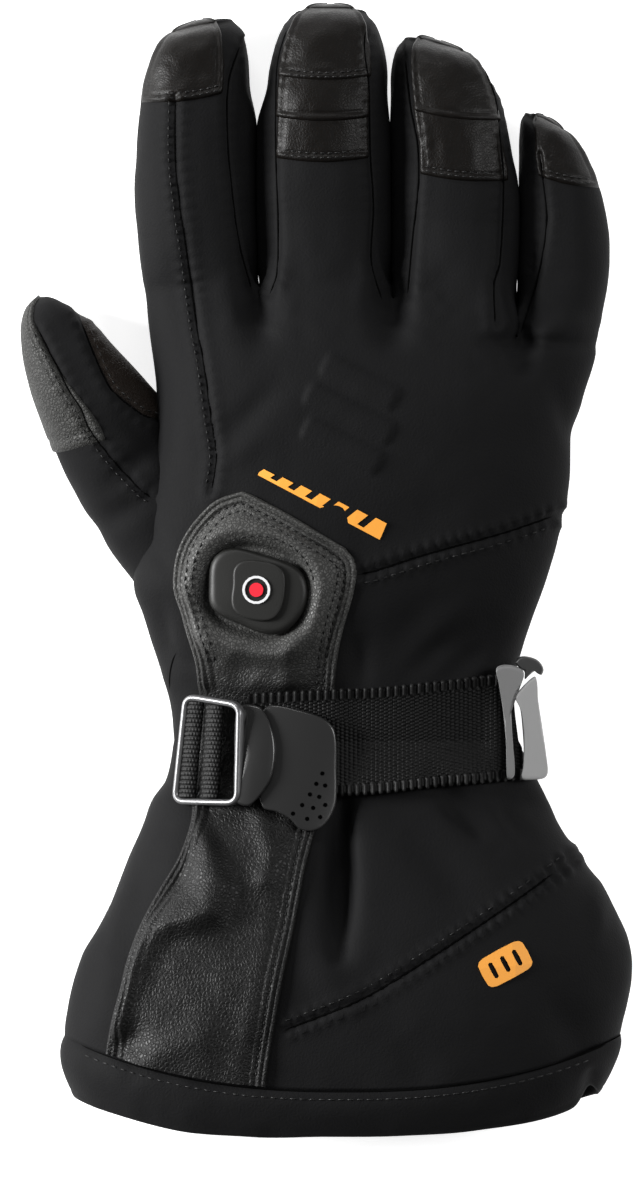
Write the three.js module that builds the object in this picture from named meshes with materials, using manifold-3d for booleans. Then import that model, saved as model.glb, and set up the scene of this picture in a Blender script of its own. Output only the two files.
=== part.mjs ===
import * as THREE from "three";
import Module from "manifold-3d";
import { mergeVertices } from "three/addons/utils/BufferGeometryUtils.js";

const wasm = await Module();
wasm.setup();

// A right-hand glove lying palm down: fingers towards +Y, thumb towards -X, back of the hand up (+Z).
// All lengths are millimetres. Tables hold shares of the named sizes.

// Hand and gauntlet
const HAND_LENGTH = 125.4;
const CUFF_LENGTH = 112;
const HAND_WIDTH = 129;
const WRIST_WIDTH = 98;
const CUFF_WIDTH = 159;
const HAND_HEIGHT = 46;
const WRIST_HEIGHT = 39;
const ROOT_HEIGHT = 37;
const CUFF_HEIGHT = 58;
const WRIST_SHIFT = 5.84;
const HEM_BOW = 14.5;
const HEM_BAND_SWELL = 0.6;
const SIDE_SEAM_HEIGHT = 15;

// Walls and clearances
const WALL = 3;
const LEATHER = 1.2;
const WEBBING = 1.8;
const PRINT = 0.4;
const GAP = 0.3;
const FLAT_CUT = 0.8;
const BAND_FROM = -0.877;
const SEAM_DEPTH = 0.9;
const CAP_LIFT = 0.5;
const ROOT_HOLE_WALL = 4.8;
const ROOT_HOLE_SHARE = 0.92;
const BAND_LIFT = 0.5;
const SEAM_WIDTH = 1.6;

// Strap, buckles and tab
const STRAP_WIDTH = 27;
const STRAP_FROM = -0.58;
const STRAP_TO = 0.865;
const STRAP_LEVEL_AT = -0.2;
const RAMP_FROM = -0.04;
const RAMP_LENGTH = 9;
const BUCKLE_WIDTH = 21.5;
const BUCKLE_LENGTH = 31;
const BUCKLE_BAR = 2.4;
const BUCKLE_TILT = 38;
const TAB_AT = -0.42;
const TAB_LENGTH = 18.5;
const TAB_WIDTH = 33;
const TAB_THICKNESS = 2.2;
const TAB_HOLE = 1.3;
const LOOP_EXTRA = 0.6;
const HOOK_BUCKLE_LENGTH = 24;
const HOOK_BUCKLE_WIDTH = 15;
const HOOK_BUCKLE_THICKNESS = 3;
const HOOK_BUCKLE_TILT = 52;

// Heat switch
const SWITCH_WIDTH = 28;
const SWITCH_LENGTH = 25;
const SWITCH_HEIGHT = 4.2;
const BUTTON_WIDTH = 14.5;
const BUTTON_LENGTH = 18;
const BUTTON_HEIGHT = 1.5;
const LAMP_RING_RADIUS = 4;
const LAMP_RING_BAND = 0.7;
const LAMP_LENS_RADIUS = 2;
const LAMP_HEIGHT = 0.6;
const LAMP_SIDES = 18;
const COLLAR_RADIUS = 6;
const COLLAR_PUFF = 4;
const COLLAR_SIDES = 6;
const SWITCH_TURN = -14;
const RECESS_DEPTH = 1.2;
const HOUSING_EDGE = 0.8;
const BUTTON_EDGE = 0.8;
const BUTTON_OFF = 1;
const SWITCH_POWER = 2.7;
const SWITCH_SIDES = 18;

// Hand sections from the wrist to the finger roots:
// along (share of hand length), wide (wrist to hand width), shift (share of hand width),
// high (wrist to hand height), root (blend to root height)
const HAND_ROWS = [
  [0, 0, 0, 0, 0],
  [0.08, 0, -0.009, 0.15, 0],
  [0.148, 0.084, -0.018, 0.35, 0],
  [0.216, 0.242, -0.021, 0.5, 0],
  [0.284, 0.406, -0.019, 0.65, 0],
  [0.352, 0.6, -0.018, 0.78, 0],
  [0.432, 0.67, -0.004, 0.9, 0],
  [0.545, 0.7, 0.021, 1, 0],
  [0.659, 0.69, 0.038, 1, 0],
  [0.773, 0.774, 0.052, 1, 0.1],
  [0.886, 0.94, 0.061, 1, 0.5],
  [1, 1, 0.056, 1, 1],
];

// Gauntlet sections from the wrist to the hem:
// along (share of cuff length), wide (wrist to cuff width), shift (share of cuff width),
// high (wrist to cuff height), bow (share of the hem bow)
const CUFF_ROWS = [
  [0, 0, 0, 0, 0],
  [0.1, 0.136, 0.011, 0.12, 0],
  [0.151, 0.248, 0.007, 0.2, 0],
  [0.214, 0.346, 0.008, 0.32, 0],
  [0.29, 0.497, 0.012, 0.47, 0.02],
  [0.38, 0.679, 0.02, 0.63, 0.1],
  [0.48, 0.818, 0.022, 0.78, 0.3],
  [0.58, 0.939, 0.02, 0.9, 0.5],
  [0.69, 0.995, 0.012, 0.98, 0.75],
  [0.79, 1.005, 0.002, 1, 0.93],
  [0.877, 0.987, -0.007, 0.99, 1],
  [0.94, 0.945, -0.015, 0.95, 0.92],
  [1, 0.87, -0.018, 0.9, 0.74],
];

// Folds and creases in the back, as lines in body coordinates:
// from along, from across, to along, to across, half width (mm), depth (mm; below zero is a ridge)
const FOLDS = [
  [-0.16, -0.06, -0.5, -0.075, 5, 3.4],
  [-0.1, 0.42, -0.25, 0.66, 4, 2.2],
  [-0.1, 0.7, -0.17, 0.98, 4, 2],
  [-0.3, -0.92, -0.62, -0.86, 6, 2.4],
  [-0.34, -0.62, -0.6, -0.5, 8, -1.6],
  [0.2, 0.3, 0.34, 0.5, 6, 1.6],
  [0.17, 0.6, 0.3, 0.85, 5, 1.5],
  [0.93, -0.5, 1.07, -0.52, 4.5, 9],
  [0.93, 0.08, 1.07, 0.09, 4.5, 9],
  [0.86, 0.66, 1.04, 0.65, 4.5, 9],
];

// Fingers: root across, tip across and sideways bend (mm), root from the hand's front (mm), length, width,
// narrowing at the tip (share), thickness at the root and at the middle, cap start (share of length),
// skew (mm), left and right seams (shares of the half width), starts of the bands on the cap
const FINGERS = {
  index: { root: -36.2, tip: -35.8, bend: -1.8, start: 0, length: 78, width: 33.4, taper: 0, rootHigh: 32,
    high: 31, cap: 0.74, skew: 2, left: -0.34, right: 0.53, bands: [] },
  middle: { root: -0.1, tip: 1.4, bend: -1, start: 0, length: 83, width: 37, taper: 0, rootHigh: 36,
    high: 33, cap: 0.49, skew: 0, left: -0.72, right: 0.66, bands: [0.63] },
  ring: { root: 36, tip: 31.6, bend: 3, start: 0, length: 72.5, width: 35.6, taper: 0.04, rootHigh: 36,
    high: 32, cap: 0.48, skew: -2.6, left: -0.62, right: 0.7, bands: [0.68] },
  little: { root: 65, tip: 62.4, bend: 4.6, start: -10, length: 62, width: 25.4, taper: 0.14, rootHigh: 30,
    high: 28, cap: 0.79, skew: -3, left: -0.5, right: 0.72, bands: [] },
};

// Finger sections from root to tip: along, width, height (shares), bulge across (share of the width)
const FINGER_ROWS = [
  [0, 0.98, 1, 0],
  [0.12, 0.99, 0.99, 0],
  [0.3, 1, 1, 0],
  [0.45, 1, 1, 0],
  [0.6, 0.985, 0.99, 0],
  [0.72, 0.965, 0.97, 0],
  [0.8, 0.93, 0.93, 0],
  [0.87, 0.86, 0.87, 0],
  [0.93, 0.75, 0.78, 0],
  [0.97, 0.63, 0.66, 0],
  [1, 0.46, 0.46, 0],
];

// Thumb
const THUMB_WALL = 2.4;
const THUMB_LENGTH = 96;
const THUMB_WIDTH = 34.8;
const THUMB_HEIGHT = 31;
const THUMB_LEAN = 20.2;
const THUMB_ROOT_X = -47.6;
const THUMB_ROOT_Y = 36.4;

// Thumb sections from root to tip: along, width, height (shares), shift across (share of the width)
const THUMB_ROWS = [
  [0, 0.9, 0.9, 0.42],
  [0.26, 1, 1, 0.27],
  [0.465, 1, 1, 0.16],
  [0.585, 0.98, 1, 0.14],
  [0.66, 0.9, 1, 0.1],
  [0.74, 0.8, 0.98, 0.055],
  [0.8, 0.71, 0.95, 0.03],
  [0.848, 0.64, 0.9, 0.015],
  [0.89, 0.56, 0.84, 0],
  [0.927, 0.46, 0.76, -0.02],
  [0.96, 0.35, 0.64, -0.03],
  [0.985, 0.24, 0.5, -0.03],
  [1, 0.12, 0.34, -0.02],
];

// Outline of the patch on the thumb's outer side: along and across (share of the thumb's half width)
const THUMB_PATCH_OUTLINE = [
  [0.52, -0.02], [0.66, -0.08], [0.8, -0.18], [0.92, -0.3], [0.92, -1.6], [0.52, -1.6],
];
const THUMB_PATCH_LOW = 0.3;

// Outlines in body coordinates: along (hand above zero, gauntlet below), across (share of half width)
const PATCH_OUTLINE = [
  [0.561, -0.563], [0.552, -0.474], [0.495, -0.234], [0.434, 0.005], [0.395, 0.074], [0.341, 0.078],
  [0.261, 0.028], [0.118, -0.024], [0, -0.078], [-0.126, -0.112], [-0.232, -0.176], [-0.368, -0.227],
  [-0.518, -0.258], [-0.669, -0.274], [-0.845, -0.275], [-0.845, -0.84], [-0.7, -0.83],
  [-0.593, -0.83], [-0.47, -0.82], [-0.375, -0.798], [-0.286, -0.752], [-0.189, -0.77],
  [-0.101, -0.84], [0, -0.85], [0.127, -0.8], [0.191, -0.777], [0.261, -0.793], [0.341, -0.795],
  [0.418, -0.795], [0.468, -0.77], [0.536, -0.682],
];
const SWITCH_AT = [0.341, -0.4];

// Pull tab and loop: across and along, as shares of the tab length and width, from the loop's right edge
const TAB_OUTLINE = [
  [0.02, 0.32], [0.05, 0.05], [-0.03, -0.22], [-0.14, -0.48], [0.1, -0.7], [0.42, -0.8], [0.75, -0.82],
  [0.93, -0.74], [1, -0.6], [1, 0.05], [0.96, 0.17], [0.86, 0.24], [0.5, 0.31],
];
const TAB_HOLES = [
  [0.8, -0.28], [0.7, -0.36], [0.84, -0.4], [0.75, -0.5], [0.48, -0.56], [0.64, -0.6], [0.86, -0.58],
  [0.78, -0.68], [0.56, -0.71],
];
const LOOP_OUTLINE = [
  [0.02, 0.32], [0.05, 0.05], [-0.03, -0.22], [-0.14, -0.48], [-0.32, -0.56], [-0.5, -0.56], [-0.4, 0.32],
];

// Folded webbing in the loop buckle: across (share of buckle width), up (share of the bar)
const FOLD_PROFILE = [
  [0.22, -1], [0.25, -0.2], [0.2, 0.35], [0.1, 0.5], [0.02, 0.35], [-0.02, -0.1], [-0.06, 0.5],
  [-0.14, 0.85], [-0.24, 0.85], [-0.32, 0.4], [-0.34, -0.4], [-0.3, -1.4],
];

// Hook buckle outlines: across and along as shares of its width and length
const HOOK_FRAME = [
  [-0.5, 0.42], [-0.36, 0.56], [0.1, 0.56], [0.22, 0.44], [0.5, 0.28], [0.5, -0.44], [0.4, -0.54],
  [-0.2, -0.54], [-0.3, -0.46], [-0.42, 0.1],
];
const HOOK_SLOT = [[-0.22, 0.3], [-0.04, 0.16], [0.06, -0.2], [0.06, -0.42], [-0.12, -0.42], [-0.16, 0]];
const HOOK_OUTLINE = [
  [-0.36, 0.62], [-0.3, 0.82], [0, 0.9], [0.4, 0.84], [0.72, 0.7], [0.84, 0.58], [0.8, 0.48], [0.66, 0.5],
  [0.5, 0.6], [0.24, 0.52], [0.14, 0.6],
];
const EDGE_BEVEL = 0.5;
const BUCKLE_AT = -0.8;
const BUCKLE_OFF = -2.6;
const BUCKLE_POWER = 9;
const BUCKLE_SIDES = 20;
const SEAT_ROOM = 0.5;
const BUCKLE_TURN = -7.5;
const STRAP_RISE = 3;
const HOOK_AT = 1.02;
const HOOK_OFF = 4.5;
const HOOK_TURN = 12;
const HOOK_BAR = 2.2;
const HOOK_BAR_LENGTH = 29;
const HOOK_BAR_HEIGHT = 3;
const HOOK_BAR_OFF = 4;
const HOOK_BAR_TURN = 4;
const HOOK_BAR_ROOM = 1.4;

// Orange prints
const GAUGE_AT = [0.6, -0.5];
const GAUGE_LENGTH = 39;
const GAUGE_HEIGHT = 5;
const GAUGE_BARS = 7;
const GAUGE_TURN = -28;
const GAUGE_LOWEST = 0.45;
const GAUGE_BAR_SHARE = 0.62;
const GAUGE_SLANT = 0.35;
const GAUGE_BASE = 0.18;
const BADGE_AT = [-0.573, 0.524];
const BADGE_LENGTH = 14.6;
const BADGE_HEIGHT = 9;
const BADGE_TURN = 28;
const BADGE_BARS = [-0.26, 0, 0.26];
const BADGE_BAR_HALF = [0.05, 0.28];

// Seams as grooves in the panels: lists of points in body coordinates
const BACK_SEAMS = [
  [[0.99, -0.79], [0.855, -0.766], [0.72, -0.732], [0.639, -0.693], [0.575, -0.68]],
  [[0.395, 0.12], [0.42, 0.386], [0.47, 0.744], [0.5, 0.9]],
];
const CUFF_SEAMS = [
  [[-0.74, -0.235], [-0.638, 0.032], [-0.532, 0.289], [-0.404, 0.629], [-0.32, 0.88]],
];

const UPPER_POWER = 2.4;
const LOWER_POWER = 4;
const WIDEST_SHARE = 0.42;

const mix = (a, b, t) => a + (b - a) * t;
const clamp = (value, low, high) => Math.min(high, Math.max(low, value));
const radians = (degrees) => degrees * Math.PI / 180;

// Smooth reading of one column of a table by its first column
function read(table, at, column) {
  const last = table.length - 1;
  const x = clamp(at, table[0][0], table[last][0]);
  let i = 0;
  while (i < last - 1 && x > table[i + 1][0]) i += 1;
  const slope = (k) => {
    const a = Math.max(0, k - 1);
    const b = Math.min(last, k + 1);
    return (table[b][column] - table[a][column]) / (table[b][0] - table[a][0]);
  };
  const step = table[i + 1][0] - table[i][0];
  const t = (x - table[i][0]) / step;
  const t2 = t * t;
  const t3 = t2 * t;
  return (2 * t3 - 3 * t2 + 1) * table[i][column] + (t3 - 2 * t2 + t) * step * slope(i)
    + (3 * t2 - 2 * t3) * table[i + 1][column] + (t3 - t2) * step * slope(i + 1);
}

// Closed shapes and joins
function solidOf(geometry) {
  const plain = geometry.clone();
  plain.deleteAttribute("normal");
  plain.deleteAttribute("uv");
  const merged = mergeVertices(plain, 1e-5);
  return new wasm.Manifold(new wasm.Mesh({
    numProp: 3,
    vertProperties: new Float32Array(merged.attributes.position.array),
    triVerts: new Uint32Array(merged.index.array),
  }));
}

function geometryOf(solid) {
  const mesh = solid.getMesh();
  const geometry = new THREE.BufferGeometry();
  geometry.setAttribute("position", new THREE.BufferAttribute(new Float32Array(mesh.vertProperties), 3));
  geometry.setIndex(new THREE.BufferAttribute(new Uint32Array(mesh.triVerts), 1));
  return geometry;
}

// The main body of a cut solid, without the crumbs of the cut
function largest(solid) {
  const bodies = solid.decompose();
  return bodies.reduce((kept, body) => (body.volume() > kept.volume() ? body : kept));
}

// Solid between stacked closed loops, both ends filled from a middle point
function loft(loops) {
  const count = loops[0].length;
  const points = loops.flat();
  const faces = [];
  for (let i = 0; i < loops.length - 1; i += 1) {
    for (let j = 0; j < count; j += 1) {
      const a = i * count + j;
      const b = i * count + (j + 1) % count;
      faces.push(a, b, b + count, a, b + count, a + count);
    }
  }
  for (const [row, flip] of [[0, true], [loops.length - 1, false]]) {
    const middle = [0, 1, 2].map((k) => loops[row].reduce((sum, p) => sum + p[k], 0) / count);
    points.push(middle);
    for (let j = 0; j < count; j += 1) {
      const a = row * count + j;
      const b = row * count + (j + 1) % count;
      if (flip) faces.push(points.length - 1, b, a);
      else faces.push(points.length - 1, a, b);
    }
  }
  return solidOf(indexed(points, faces));
}

// Tube wall between an outer and an inner stack of loops that share their number of points
function wall(outer, inner, closedTip) {
  const count = outer[0].length;
  const points = outer.flat();
  const faces = [];
  const strip = (start, rows, flip) => {
    for (let i = 0; i < rows - 1; i += 1) {
      for (let j = 0; j < count; j += 1) {
        const a = start + i * count + j;
        const b = start + i * count + (j + 1) % count;
        if (flip) faces.push(a, b + count, b, a, a + count, b + count);
        else faces.push(a, b, b + count, a, b + count, a + count);
      }
    }
  };
  strip(0, outer.length, false);
  const base = points.length;
  points.push(...inner.flat());
  strip(base, inner.length, true);
  const rim = (rowOut, rowIn, flip) => {
    for (let j = 0; j < count; j += 1) {
      const k = (j + 1) % count;
      const a = rowOut * count + j;
      const b = rowOut * count + k;
      const c = base + rowIn * count + j;
      const d = base + rowIn * count + k;
      if (flip) faces.push(a, c, b, b, c, d);
      else faces.push(a, b, c, b, d, c);
    }
  };
  rim(0, 0, true);
  const tip = (loops, start, flip) => {
    const row = loops.length - 1;
    const middle = [0, 1, 2].map((k) => loops[row].reduce((sum, p) => sum + p[k], 0) / count);
    points.push(middle);
    for (let j = 0; j < count; j += 1) {
      const a = start + row * count + j;
      const b = start + row * count + (j + 1) % count;
      if (flip) faces.push(points.length - 1, b, a);
      else faces.push(points.length - 1, a, b);
    }
  };
  if (closedTip) {
    tip(outer, 0, false);
    tip(inner, base, true);
  } else {
    rim(outer.length - 1, inner.length - 1, false);
  }
  return solidOf(indexed(points, faces));
}

function indexed(points, faces) {
  const geometry = new THREE.BufferGeometry();
  geometry.setAttribute("position", new THREE.Float32BufferAttribute(points.flat(), 3));
  geometry.setIndex(faces.reverse());
  return geometry;
}

// Upright prism over an outline of [x, y] points
function prism(outline, low, high, holes = []) {
  const shape = new THREE.Shape(outline.map(([x, y]) => new THREE.Vector2(x, y)));
  for (const hole of holes) shape.holes.push(new THREE.Path(hole.map(([x, y]) => new THREE.Vector2(x, y))));
  const geometry = new THREE.ExtrudeGeometry(shape, { depth: high - low, bevelEnabled: false, steps: 1 });
  geometry.translate(0, 0, low);
  return solidOf(geometry);
}

function block(x0, x1, y0, y1, z0, z1) {
  const geometry = new THREE.BoxGeometry(x1 - x0, y1 - y0, z1 - z0);
  geometry.translate((x0 + x1) / 2, (y0 + y1) / 2, (z0 + z1) / 2);
  return solidOf(geometry);
}

const FAR = 400;

// Section positions: across runs -1 to 1 over the top and back underneath
const TOP_STEPS = 16;
const UNDER_STEPS = 8;
const INNER_TOP_STEPS = 10;
const INNER_UNDER_STEPS = 6;

function around(topSteps, underSteps) {
  const list = [];
  for (let i = 0; i <= topSteps; i += 1) {
    list.push({ across: Math.cos(Math.PI * i / topSteps), under: false });
  }
  for (let i = 1; i < underSteps; i += 1) {
    list.push({ across: -Math.cos(Math.PI * i / underSteps), under: true });
  }
  return list;
}

// Height of a padded section: over or under its widest line, cut flat where it rests
function sectionHeight(across, under, high, grow, floor) {
  const side = WIDEST_SHARE * high;
  const share = Math.abs(clamp(across, -1, 1));
  if (!under) return side + (high - side + grow) * (1 - share ** UPPER_POWER) ** (1 / UPPER_POWER);
  const depth = side + FLAT_CUT + Math.min(grow, 0);
  return Math.max(floor, side - depth * (1 - share ** LOWER_POWER) ** (1 / LOWER_POWER));
}

function foldDepth(along, x, y) {
  let depth = 0;
  for (const [along0, across0, along1, across1, half, deep] of FOLDS) {
    const [x0, y0] = flatPoint(along0, across0);
    const [x1, y1] = flatPoint(along1, across1);
    const span = (x1 - x0) ** 2 + (y1 - y0) ** 2;
    const t = ((x - x0) * (x1 - x0) + (y - y0) * (y1 - y0)) / span;
    const held = clamp(t, 0, 1);
    const off = Math.hypot(x - mix(x0, x1, held), y - mix(y0, y1, held));
    depth += deep * Math.exp(-((off / half) ** 2)) * (0.35 + 0.65 * Math.sin(Math.PI * held));
  }
  return depth;
}

function bodySize(along) {
  if (along >= 0) {
    const high = mix(WRIST_HEIGHT, HAND_HEIGHT, read(HAND_ROWS, along, 3));
    return {
      half: mix(WRIST_WIDTH, HAND_WIDTH, read(HAND_ROWS, along, 1)) / 2,
      middle: WRIST_SHIFT + HAND_WIDTH * read(HAND_ROWS, along, 2),
      high: mix(high, ROOT_HEIGHT, read(HAND_ROWS, along, 4)),
      y: along * HAND_LENGTH,
      bow: 0,
    };
  }
  return {
    half: mix(WRIST_WIDTH, CUFF_WIDTH, read(CUFF_ROWS, -along, 1)) / 2,
    middle: WRIST_SHIFT + CUFF_WIDTH * read(CUFF_ROWS, -along, 2),
    high: mix(WRIST_HEIGHT, CUFF_HEIGHT, read(CUFF_ROWS, -along, 3)),
    y: along * CUFF_LENGTH,
    bow: HEM_BOW * read(CUFF_ROWS, -along, 4),
  };
}

// Point of the outline plane for body coordinates
function flatPoint(along, across) {
  const size = bodySize(along);
  return [
    size.middle + across * size.half,
    size.y + size.bow * Math.abs(clamp(across, -1, 1)) ** 2.4,
  ];
}

// One closed section of the hand or gauntlet, grown outwards (or inwards) by some millimetres
function bodyLoop(along, steps, grow, floor) {
  const size = bodySize(along);
  return steps.map(({ across, under }) => {
    const [flat, y] = flatPoint(along, across);
    const raised = typeof grow === "function" ? grow(flat) : grow;
    const x = size.middle + across * (size.half + raised);
    let z = sectionHeight(across, under, size.high, raised, floor);
    if (!under) z = Math.max(z - foldDepth(along, x, y), floor + 1);
    return [x, y, z];
  });
}

const OUTER_STEPS = around(TOP_STEPS, UNDER_STEPS);
const INNER_STEPS = around(INNER_TOP_STEPS, INNER_UNDER_STEPS);
const HAND_STATIONS = [0, 0.08, 0.16, 0.24, 0.32, 0.42, 0.54, 0.66, 0.77, 0.87, 0.94, 1];
const CUFF_STATIONS = [0, 0.08, 0.15, 0.22, 0.3, 0.39, 0.48, 0.58, 0.68, 0.78, 0.877];
const HAND_INNER_STATIONS = [0, 0.14, 0.28, 0.45, 0.66, 0.87];
const CUFF_INNER_STATIONS = [0.13, 0.25, 0.4, 0.58, 0.78];

function handSolid(grow, floor, steps, from, to, places = HAND_STATIONS) {
  const stations = places.filter((along) => along > from && along < to);
  return loft([from, ...stations, to].map((along) => bodyLoop(along, steps, grow, floor)));
}

function cuffSolid(grow, floor, steps, from, to, places = CUFF_STATIONS) {
  const stations = places.map((share) => -share).filter((along) => along > from && along < to);
  return loft([from, ...stations.reverse(), to].map((along) => bodyLoop(along, steps, grow, floor)));
}

function wholeSolid(grow, floor) {
  const hand = HAND_STATIONS;
  const cuff = [...CUFF_STATIONS.slice(1), 1, 1.2].map((share) => -share).reverse();
  return loft([...cuff, ...hand].map((along) => bodyLoop(along, OUTER_STEPS, grow, floor)));
}

// Fingers and thumb as tubes along their own axes
function digitLoops(digit, rows, stations, grow, floor, seams, steps) {
  return stations.map((along) => {
    const narrowed = 1 - digit.taper * clamp(2 * along - 1, 0, 1);
    const half = digit.width * read(rows, along, 1) * narrowed / 2 + grow;
    const high = mix(digit.rootHigh, digit.high, clamp(along / 0.3, 0, 1)) * read(rows, along, 2);
    const shift = digit.width * read(rows, along, 3);
    const lift = digit.bands.filter((band) => along > band).length * BAND_LIFT;
    return steps.map(({ across, under }) => {
      let z = sectionHeight(across, under, high, grow + lift, floor);
      if (!under && seams) {
        for (const seam of seams) {
          const off = Math.abs(across - seam) * half;
          z -= SEAM_DEPTH * Math.max(0, 1 - off / (SEAM_WIDTH / 2));
        }
      }
      const side = shift + across * (half + lift) + digit.sway * along + digit.bend * 4 * along * (1 - along);
      const forward = digit.length * along + digit.skew * across * along;
      return [
        digit.x + side * digit.dirY + forward * digit.dirX,
        digit.y - side * digit.dirX + forward * digit.dirY,
        z,
      ];
    });
  });
}

function fingerFrame(finger) {
  return {
    x: finger.root, y: HAND_LENGTH + finger.start, dirX: 0, dirY: 1, length: finger.length,
    width: finger.width, rootHigh: finger.rootHigh, high: finger.high, skew: finger.skew,
    sway: finger.tip - finger.root, bend: finger.bend, bands: finger.bands,
    taper: finger.taper,
  };
}

const THUMB = {
  x: THUMB_ROOT_X, y: THUMB_ROOT_Y,
  dirX: -Math.sin(radians(THUMB_LEAN)), dirY: Math.cos(radians(THUMB_LEAN)),
  length: THUMB_LENGTH, width: THUMB_WIDTH, rootHigh: THUMB_HEIGHT, high: THUMB_HEIGHT,
  skew: 0, sway: 0, bend: 0, bands: [], taper: 0,
};

function seamSteps(finger) {
  const half = finger.width / 2;
  const reach = SEAM_WIDTH / 2 / half;
  const near = [];
  for (const seam of [finger.left, finger.right]) near.push(seam - reach, seam, seam + reach);
  const clear = (across) => near.every((value) => Math.abs(value - across) > 0.04);
  const base = around(10, 6).filter(({ across, under }) => under || clear(across));
  const list = base.filter((step) => !step.under).concat(near.map((across) => ({ across, under: false })));
  list.sort((a, b) => b.across - a.across);
  return list.concat(base.filter((step) => step.under));
}

const material = (color, roughness) => new THREE.MeshStandardMaterial({ color, roughness, metalness: 0 });
const softshell = () => material(0x1f1f21, 0.85);
const leather = () => material(0x1a1817, 0.55);
const greyLeather = () => material(0x2c2c2e, 0.5);
const webbing = () => material(0x161617, 0.8);
const plastic = () => material(0x2a2c2f, 0.4);
const rubber = () => material(0x17181a, 0.45);
const orange = () => material(0xd6942c, 0.6);

const pieces = [];
const add = (name, solid, look) => pieces.push({ name, solid, look });

// Places of the sections of a cap, closer where a band starts
function capStations(finger, from) {
  const bandEnds = finger.bands.flatMap((band) => [band - 0.005, band + 0.01]);
  return [0.57, ...bandEnds, 0.75, 0.81, 0.87, 0.92, 0.96, 1].filter((along) => along > from + 0.035);
}

// Room that a finger takes up, with a little to spare, for the neighbour that is pressed against it
function fingerRoom(finger) {
  const stations = [0, 0.12, 0.26, 0.4, finger.cap, ...capStations(finger, finger.cap)];
  const steps = seamSteps(finger);
  return loft(digitLoops(fingerFrame(finger), FINGER_ROWS, stations, CAP_LIFT + GAP, -1, null, steps));
}

const PRESSED_AGAINST = { index: "middle", ring: "middle", little: "ring" };

// Finger tubes and their leather caps
const fingerHollows = [];
for (const [name, finger] of Object.entries(FINGERS)) {
  const digit = fingerFrame(finger);
  const steps = seamSteps(finger);
  const seams = [finger.left, finger.right];
  const gapShare = GAP / finger.length;
  const tipInner = 1 - WALL / finger.length;
  const tube = [gapShare, 0.12, 0.26, 0.4, 0.6, 0.7].filter((v) => v < finger.cap - 0.05);
  const capStart = finger.cap + gapShare;
  const cap = [capStart, ...capStations(finger, finger.cap)];
  const outerTube = digitLoops(digit, FINGER_ROWS, [...tube, finger.cap], 0, 0, seams, steps);
  const innerTube = digitLoops(digit, FINGER_ROWS, [gapShare, 0.3, finger.cap], -WALL, WALL, null, steps);
  const neighbour = FINGERS[PRESSED_AGAINST[name]];
  const pressed = (solid) => (neighbour ? largest(solid.subtract(fingerRoom(neighbour))) : solid);
  add(`${name}_finger`, pressed(wall(outerTube, innerTube, false)), softshell());
  const outerCap = digitLoops(digit, FINGER_ROWS, cap, CAP_LIFT, 0, null, steps);
  const innerStations = [capStart, 0.86, 0.93].filter((v) => v < tipInner).concat([tipInner]);
  const innerCap = digitLoops(digit, FINGER_ROWS, innerStations, -WALL, WALL, null, steps);
  add(`${name}_cap`, pressed(wall(outerCap, innerCap, true)), leather());
  const through = { ...digit, y: digit.y - WALL * 3, length: WALL * 4, sway: 0, bend: 0, skew: 0 };
  const even = [[0, ROOT_HOLE_SHARE, 1, 0], [1, ROOT_HOLE_SHARE, 1, 0]];
  fingerHollows.push(loft(digitLoops(through, even, [0, 1], -ROOT_HOLE_WALL, WALL, null, steps)));
}

// Hand: hollow from the wrist to the finger roots
const little = FINGERS.little;
const notchX = little.root - little.width / 2 - 2 * GAP;
const notch = block(notchX, FAR, HAND_LENGTH + little.start, FAR, -FAR, FAR);
const notchInner = block(notchX - WALL, FAR, HAND_LENGTH + little.start - WALL, FAR, -FAR, FAR);
const handHollow = handSolid(-WALL, WALL, INNER_STEPS, 0, 1 - WALL / HAND_LENGTH, HAND_INNER_STATIONS)
  .subtract(notchInner);
const joinGap = GAP / 2;
const handOuter = handSolid(0, 0, OUTER_STEPS, joinGap / HAND_LENGTH, 1).subtract(notch);

// Thumb: a leather tube let into the side of the hand
const thumbSteps = around(12, 6);
const thumbInnerStations = [0, 0.2, 0.4, 0.6, 0.74, 0.84, 0.89, 0.94];
const thumbInner = digitLoops(THUMB, THUMB_ROWS, thumbInnerStations, -THUMB_WALL, WALL, null, thumbSteps);
const thumbHollow = loft(thumbInner);
const thumbStations = [0, 0.16, 0.32, 0.46, 0.58, 0.66, 0.73, 0.79, 0.85, 0.89, 0.93, 0.97, 1];
const thumbOuter = loft(digitLoops(THUMB, THUMB_ROWS, thumbStations, 0, 0, null, thumbSteps));
const bodyClear = wholeSolid(GAP, -1);
const thumbShell = largest(thumbOuter.subtract(thumbHollow).subtract(bodyClear));
const handSkin = handOuter.subtract(handHollow).subtract(thumbHollow);
const openHand = fingerHollows.reduce((solid, hollow) => solid.subtract(hollow), handSkin);

// Seam grooves
function groove(points, width, depth) {
  const line = points.map(([along, across]) => flatPoint(along, across));
  const left = [];
  const right = [];
  line.forEach(([x, y], i) => {
    const [x0, y0] = line[Math.max(0, i - 1)];
    const [x1, y1] = line[Math.min(line.length - 1, i + 1)];
    const length = Math.hypot(x1 - x0, y1 - y0);
    const nx = -(y1 - y0) / length * width / 2;
    const ny = (x1 - x0) / length * width / 2;
    left.push([x + nx, y + ny]);
    right.unshift([x - nx, y - ny]);
  });
  return prism([...left, ...right], HAND_HEIGHT * 0.25, FAR).subtract(wholeSolid(-depth, WALL));
}

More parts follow.
